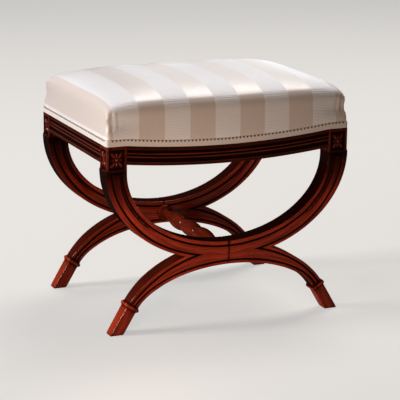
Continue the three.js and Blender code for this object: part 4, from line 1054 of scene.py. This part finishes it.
def drawn_tight(piece):
    """Lets the cloth settle over the pad: an even fine mesh, blown out a little from within and capped.

    The mesh is rebuilt at 6 mm and swells under pressure for 20 steps. The pad holds every point up, so a
    point keeps only its move outward, evened out over its neighbours 90 times: limit tanh(move / limit).
    """
    nailed_up, most_lift = 0.016, 0.0022
    remesh = piece.modifiers.new("even_mesh", "REMESH")
    remesh.mode, remesh.voxel_size = "VOXEL", 0.006
    even = modified(piece)
    rest = read_all(even.vertices, "co")
    nailed = piece.vertex_groups.new(name="nailed")
    edge = (cover_low - dip_at(rest[:, 0] * 1000)) * 0.001
    nailed.add([int(i) for i in np.flatnonzero(rest[:, 2] < edge + nailed_up)], 1.0, "REPLACE")
    settings = piece.modifiers.new("cloth", "CLOTH").settings
    settings.use_pressure, settings.uniform_pressure_force = True, 4.0
    settings.effector_weights.gravity = 0.0
    settings.vertex_group_mass = "nailed"
    settings.tension_stiffness, settings.bending_stiffness = 40.0, 2.0
    settings.quality = 6
    for step in range(1, 21):
        bpy.context.scene.frame_set(step)
    settled = piece.evaluated_get(bpy.context.evaluated_depsgraph_get())
    move = read_all(settled.to_mesh().vertices, "co") - rest
    settled.to_mesh_clear()
    piece.modifiers.clear()
    piece.vertex_groups.clear()
    bpy.context.scene.frame_set(1)
    facing = read_all(even.vertices, "normal")
    lift = np.clip((move * facing).sum(1), 0.0, None)
    ends = read_all(even.edges, "vertices", 2, int)
    a, b = ends.T
    count = np.bincount(ends.ravel(), minlength=len(lift))
    for _ in range(90):
        around = np.bincount(a, lift[b], len(lift)) + np.bincount(b, lift[a], len(lift))
        lift = 0.5 * lift + 0.5 * around / count
    return rest + facing * (most_lift * np.tanh(lift / most_lift))[:, None]


def corner_pleats(points):
    """Two soft folds hang beside each corner on the long faces, and the pleat's lip stands out at one.

    Each fold is a narrow bell across the face that fades toward the nails and ends under the shoulder. The
    lip is a bell of 8 mm round z 464 on the front left corner.
    """
    x, y, z = points.T * 1000
    draw = corner_draw(x, y, z)
    to_corner = cover_x + side_bulge - np.abs(x) - draw[:, 0]
    to_face = cover_y + side_bulge - np.abs(y) - draw[:, 1]
    face = np.clip(1 - to_face / 6, 0, 1)
    tall = np.clip((z - 437) / 20, 0, 1) * np.clip((490 - z) / 14, 0, 1)
    folds = ((5, 1.2), (12, -2.6), (19, 1.0), (26, -1.7))
    fold = sum(high * np.exp(-(((to_corner - place) / 4.0) ** 2)) for place, high in folds)
    lip = 8.0 * np.exp(-(((z - 464) / 7) ** 2) - (to_corner / 6) ** 2 - (to_face / 6) ** 2) * (x < 0) * (y < 0)
    moved = points.copy()
    moved[:, 0] += np.sign(x) * lip * 0.001
    moved[:, 1] += np.sign(y) * fold * face * tall * 0.001
    return moved


settled = drawn_tight(shell)
shell.data.vertices.foreach_set("co", settled.ravel())
finer = shell.modifiers.new("finer", "SUBSURF")
finer.levels = finer.render_levels = 1
modified(shell)
fine = corner_pleats(read_all(shell.data.vertices, "co"))
shell.data.vertices.foreach_set("co", fine.ravel())
shell.data.update()


def stripe_map(mesh, points):
    """The cloth's own coordinates: metres across the stripes and along them, measured over the pad.

    On the long faces and the top the stripes follow x. Past the end shoulders the cloth turns down, so
    the distance runs on down the end faces. A face takes one rule or the other by its middle.
    """
    turned = 30.0
    corner = read_all(mesh.loops, "vertex_index", 1, int)
    start = read_all(mesh.polygons, "loop_start", 1, int)
    middle = read_all(mesh.polygons, "center") * 1000
    owner = np.repeat(np.arange(len(start)), np.diff(np.append(start, len(corner))))
    x, y, z = (points[corner] * 1000).T
    end_gap, long_gap = ((cover_x, cover_y) - np.abs(middle[:, :2]) - corner_draw(*middle.T)).T
    on_end = ((end_gap < long_gap) & (end_gap < turned))[owner]
    past = np.clip(np.abs(x) - (cover_x - turned), 0, None)
    fall = np.clip(shoulder - 7.0 - z, 0, None)
    over_end = cover_x - turned + np.where(fall < turned, np.hypot(past, fall) * 1.02, fall + 17)
    across = np.where(on_end, np.sign(x) * over_end, x)
    along = np.where(on_end, y, np.sign(y) * (np.abs(y) + np.where(np.abs(y) > cover_y - turned, fall, 0)))
    return np.column_stack((across, along)) * 0.001


layer = shell.data.uv_layers.get("grain") or shell.data.uv_layers.new(name="grain")
layer.name = "cloth"
layer.data.foreach_set("uv", stripe_map(shell.data, fine).ravel())
shell.data.polygons.foreach_set("use_smooth", np.ones(len(shell.data.polygons), bool))


def striped_satin():
    """Cream cloth in 57 mm stripes: smooth satin with a sheen, and dull ribs woven across.

    The stripe is a square wave of the distance across the cloth, the ribs a sine of the distance along it
    every 3.4 mm, and both carry fine threads and a faint unevenness. The hollows between the ribs are painted
    darker as shade.
    """
    finish, add = new_finish("striped_satin")
    stripe_wide, stripe_shift, rib_pitch, thread_pitch = 0.0575, 0.0075, 0.0034, 0.0006
    cloth = add("UVMap", "UV", uv_map="cloth")
    split = add("SeparateXYZ", "X", {"Vector": cloth}).node.outputs
    across, along = split["X"], split["Y"]
    turns = maths(add, "MULTIPLY", maths(add, "ADD", across, stripe_shift), math.pi / stripe_wide)
    ribbed = ranged(add, maths(add, "COSINE", turns), -0.035, 0.035, 0.0, 1.0)
    rib = maths(add, "SINE", maths(add, "MULTIPLY", along, 2 * math.pi / rib_pitch))
    thread = maths(add, "SINE", maths(add, "MULTIPLY", across, 2 * math.pi / thread_pitch))
    uneven = mottled(add, cloth, 35.0, 3.0, (6.0, 1.0, 1.0))
    tone = {"Factor": ribbed, "A": (0.59, 0.5, 0.45, 1), "B": (0.75, 0.715, 0.72, 1)}
    # Painted shade: the base colour darkens in the hollows between the ribs.
    painted_hollow_shade = maths(add, "MULTIPLY", ribbed, maths(add, "ADD", maths(add, "MULTIPLY", rib, -0.5), 0.5))
    shade = {
        "Factor": weighted(add, (painted_hollow_shade, 0.5), (uneven, 0.25)),
        "A": add("Mix", "Result", tone, data_type="RGBA"),
        "B": (0.8, 0.76, 0.73, 1),
    }
    shader = {
        "Base Color": add("Mix", "Result", shade, data_type="RGBA", blend_type="MULTIPLY"),
        "Roughness": ranged(add, ribbed, 0.0, 1.0, 0.5, 0.8),
        "Coat Weight": ranged(add, ribbed, 0.0, 1.0, 0.8, 0.25),
        "Coat Roughness": 0.4, "Coat IOR": 1.55, "Sheen Weight": 0.9, "Sheen Roughness": 0.35,
        "Specular IOR Level": 0.4,
    }
    relief = weighted(add, (maths(add, "MULTIPLY", rib, ribbed), 1.0), (thread, 0.12), (uneven, 1.2))
    return set_shader(finish, shader, relief, 0.0003, 0.6)


shell.data.materials.clear()
shell.data.materials.append(striped_satin())
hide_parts("seat_cover")

# The gimp: a plain cream band, folded over at its edges, covers the raw edge of the cover. A close row of
# small bronzed nails, 8.5 mm apart, holds it through its upper edge.
band_high, band_thick, band_low, nail_pitch = 14.0, 1.2, rail_line + 0.3, 8.5


def band_grid():
    """The band's section, rounded over at both edges, carried round the seat and along the rails' saddle."""
    turn, radius = np.linspace(-math.pi / 2, math.pi / 2, 7), band_thick / 2

    def rounded(angles, middle):
        return [(0.9 + radius * math.cos(a), middle + radius * math.sin(a)) for a in angles]

    section = [(0.3, 0.0)] + rounded(turn[:4], radius) + [(1.35, 3.0), (1.3, 7.0), (1.35, 11.0)]
    section += rounded(turn[3:], band_high - radius) + [(0.3, band_high)]
    rows = []
    for out, high in section:
        plan = seat_outline(cover_x + out, cover_y + out, cover_round + out, 61)
        rows.append(np.column_stack((plan, band_low + high - dip_at(plan[:, 0]))))
    return np.array(rows + rows[:1])


def band_cloth():
    """Cream braid with a fine twill across it."""
    finish, add = new_finish("band_cloth")
    place = {"Vector": add("UVMap", "UV", uv_map="grain"), "Scale": 260.0}
    twill = add("TexWave", "Fac", place, bands_direction="DIAGONAL")
    colour = two_tones(add, twill, (0.5, 0.43, 0.39, 1), (0.68, 0.61, 0.56, 1))
    return set_shader(finish, {"Base Color": colour, "Roughness": 0.8}, twill, 0.00015)


fit("gimp_and_nails", "cream_gimp", "cream_band", [(band_grid(), True)], (), band_cloth(), sharp=50.0)


def dome(sides, steps):
    """A low round head as rings of points, one for each step of (radius, height)."""
    angle = np.arange(sides) * 2 * math.pi / sides
    rings = [(r * np.cos(angle), r * np.sin(angle), np.full(sides, up)) for r, up in steps]
    return np.array([np.stack(ring, 1) for ring in rings])


def nail_row():
    """All the nail heads, set facing outwards along the four sides as the pitch of 8.5 mm divides them."""
    head = dome(12, ((2.0, -0.2), (2.0, 0.25), (1.75, 0.8), (1.1, 1.3), (0.3, 1.5)))
    wide, high, far = head[..., 0], head[..., 1], head[..., 2]
    heads = []
    for half, other, axis in ((cover_x, cover_y, 0), (cover_y, cover_x, 1)):
        length = 2 * (half - 12.0)
        for sign in (-1.0, 1.0):
            out = np.array((0.0, sign) if axis == 0 else (sign, 0.0))
            for along in np.linspace(-length / 2, length / 2, round(length / nail_pitch) + 1):
                spot = np.full(3, along)
                spot[1 - axis] = sign * (other + 1.4)
                spot[2] = band_low + 12.0 - (dip_at(along) if axis == 0 else 0.0)
                turned = (far * out[0] - wide * out[1], far * out[1] + wide * out[0], high)
                heads.append(spot + np.stack(turned, -1))
    return heads


def bronzed():
    """Dark antiqued brass, a little brighter where it is rubbed."""
    finish, add = new_finish("bronzed_nails")
    rubbed = mottled(add, add("TexCoord", "Object"), 700.0)
    colour = two_tones(add, rubbed, (0.05, 0.03, 0.025, 1), (0.2, 0.12, 0.08, 1))
    return set_shader(finish, {"Base Color": colour, "Metallic": 1.0, "Roughness": 0.35})


def capped(heads):
    """Each head as a grid that closes on itself, and the rings that close it below and above."""
    return [(head, True) for head in heads], [ring for head in heads for ring in (head[0], head[-1])]


fit("gimp_and_nails", "cream_gimp", "nail_row", *capped(nail_row()), bronzed())

# The underside: black cambric hides the webbing. It is cut round the frames, turned in at its edges and
# tacked to the lower edges of the rails.
sheet_top, sheet_low = 370.1, 369.4


def bottom_grids():
    """A thin sheet that follows the rails' saddle: a middle part and two wings, each in two layers."""
    grids = []
    for x0, x1, half_y, steps in (
        (-rail_half_x, rail_half_x, 192.0, 49),
        (-269.5, -rail_half_x, rail_half_y, 5),
        (rail_half_x, 269.5, rail_half_y, 5),
    ):
        u, v = np.meshgrid(np.linspace(x0, x1, steps), np.linspace(-half_y, half_y, 33), indexing="ij")
        belly = 0.8 * np.cos(v / half_y * math.pi / 2) * np.clip(1 - (u / 270) ** 2, 0, 1)
        top = np.stack((u, v, sheet_top - dip_at(u)), -1)
        grids += two_layers(np.stack((u, v, sheet_low - dip_at(u) - belly), -1), top)
    return grids


def tack_row():
    """Tacks along the cloth's edge: low domes that hang from its underside, 55 mm apart."""
    head = dome(14, ((3.5, 0.3), (3.4, -0.2), (2.6, -0.7), (1.2, -0.95), (0.3, -1.0)))
    heads = []
    for sign in (-1, 1):
        heads += [head + (x, sign * 186.0, sheet_low - dip_at(x)) for x in np.linspace(-217, 217, 9)]
        heads += [head + (sign * 263.5, y, sheet_low) for y in np.linspace(-143.9, 143.9, 6)]
    return heads


cambric = strap_cloth("black_cambric", (0.022, 0.021, 0.022, 1), (0.008, 0.008, 0.009, 1), 0.0009, 0.85)
under = fit("bottom_cloth", "black_cambric", "cambric_sheet", bottom_grids(), (), cambric, sharp=60.0)
tacks = fit("bottom_cloth", "steel_screw", "cambric_tacks", *capped(tack_row()), steel)

# The setting: a plain pale floor under soft light. A large lamp stands high to the left and lights that
# side, and a soft one overhead gives the satin its sheen. A small warm one fills the front from low on the
# left, as light thrown back by a floor does, and a weak one far to the right edges the wood.


def plain_stage(name, colour, lift):
    """A plain matt floor that keeps the shadows; the eye sees it lifted a little toward white."""
    finish, add = new_finish(name)
    seen = maths(add, "MULTIPLY", add("LightPath", "Is Camera Ray"), lift)
    return set_shader(finish, {
        "Base Color": colour, "Roughness": 0.9, "Specular IOR Level": 0.0,
        "Emission Color": (0.98, 0.99, 0.99, 1), "Emission Strength": seen,
    })


floor_mesh = bpy.data.meshes.new("floor")
floor_mesh.from_pydata([(-30, -30, 0), (30, -30, 0), (30, 30, 0), (-30, 30, 0)], [], [(0, 1, 2, 3)])
floor_mesh.materials.append(plain_stage("pale_floor", (0.27, 0.245, 0.22, 1), 0.46))
floor = bpy.data.objects.new("floor", floor_mesh)
bpy.context.scene.collection.objects.link(floor)


def lamp(name, place, target, size, power, colour, spread=180.0):
    """A square soft lamp that faces a target, its beam kept within an angle in degrees."""
    light = bpy.data.lights.new(name, "AREA")
    light.size, light.energy, light.color, light.spread = size, power, colour, math.radians(spread)
    lit = bpy.data.objects.new(name, light)
    lit.visible_camera = False
    back = np.array(place, float) - np.array(target, float)
    back /= np.linalg.norm(back)
    side = np.cross((0.0, 0.0, 1.0), back)
    side /= np.linalg.norm(side)
    stand(lit, side, np.cross(back, side), back, place)


lamp("window", (-5.0, 1.0, 2.6), (0, 0, 0.3), 1.6, 380.0, (0.97, 1.0, 1.04))
lamp("skylight", (1.7, 1.9, 4.3), (0, 0, 0.4), 2.4, 190.0, (1.0, 0.99, 0.985))
lamp("bounce", (-0.68, -0.78, 0.24), (0.02, -0.2, 0.2), 0.22, 1.25, (1.0, 0.77, 0.61), 75.0)
lamp("glint", (5.0, 2.0, 0.8), (0, 0, 0.3), 1.0, 40.0, (1.0, 0.95, 0.9))

world = bpy.data.worlds.new("room_light")
bpy.context.scene.world = world
world.use_nodes = True
air, add = world.node_tree.nodes, partial(add_node, world.node_tree)
feed(air["Background"], {"Color": (1.0, 0.84, 0.7, 1), "Strength": 0.07})
beyond = add("Background", "Background", {"Color": (0.47, 0.475, 0.475, 1)})
choice = {0: add("LightPath", "Is Camera Ray"), 1: air["Background"].outputs["Background"], 2: beyond}
feed(air["World Output"], {"Surface": add("MixShader", "Shader", choice)})
bpy.context.scene.view_settings.view_transform = "Standard"
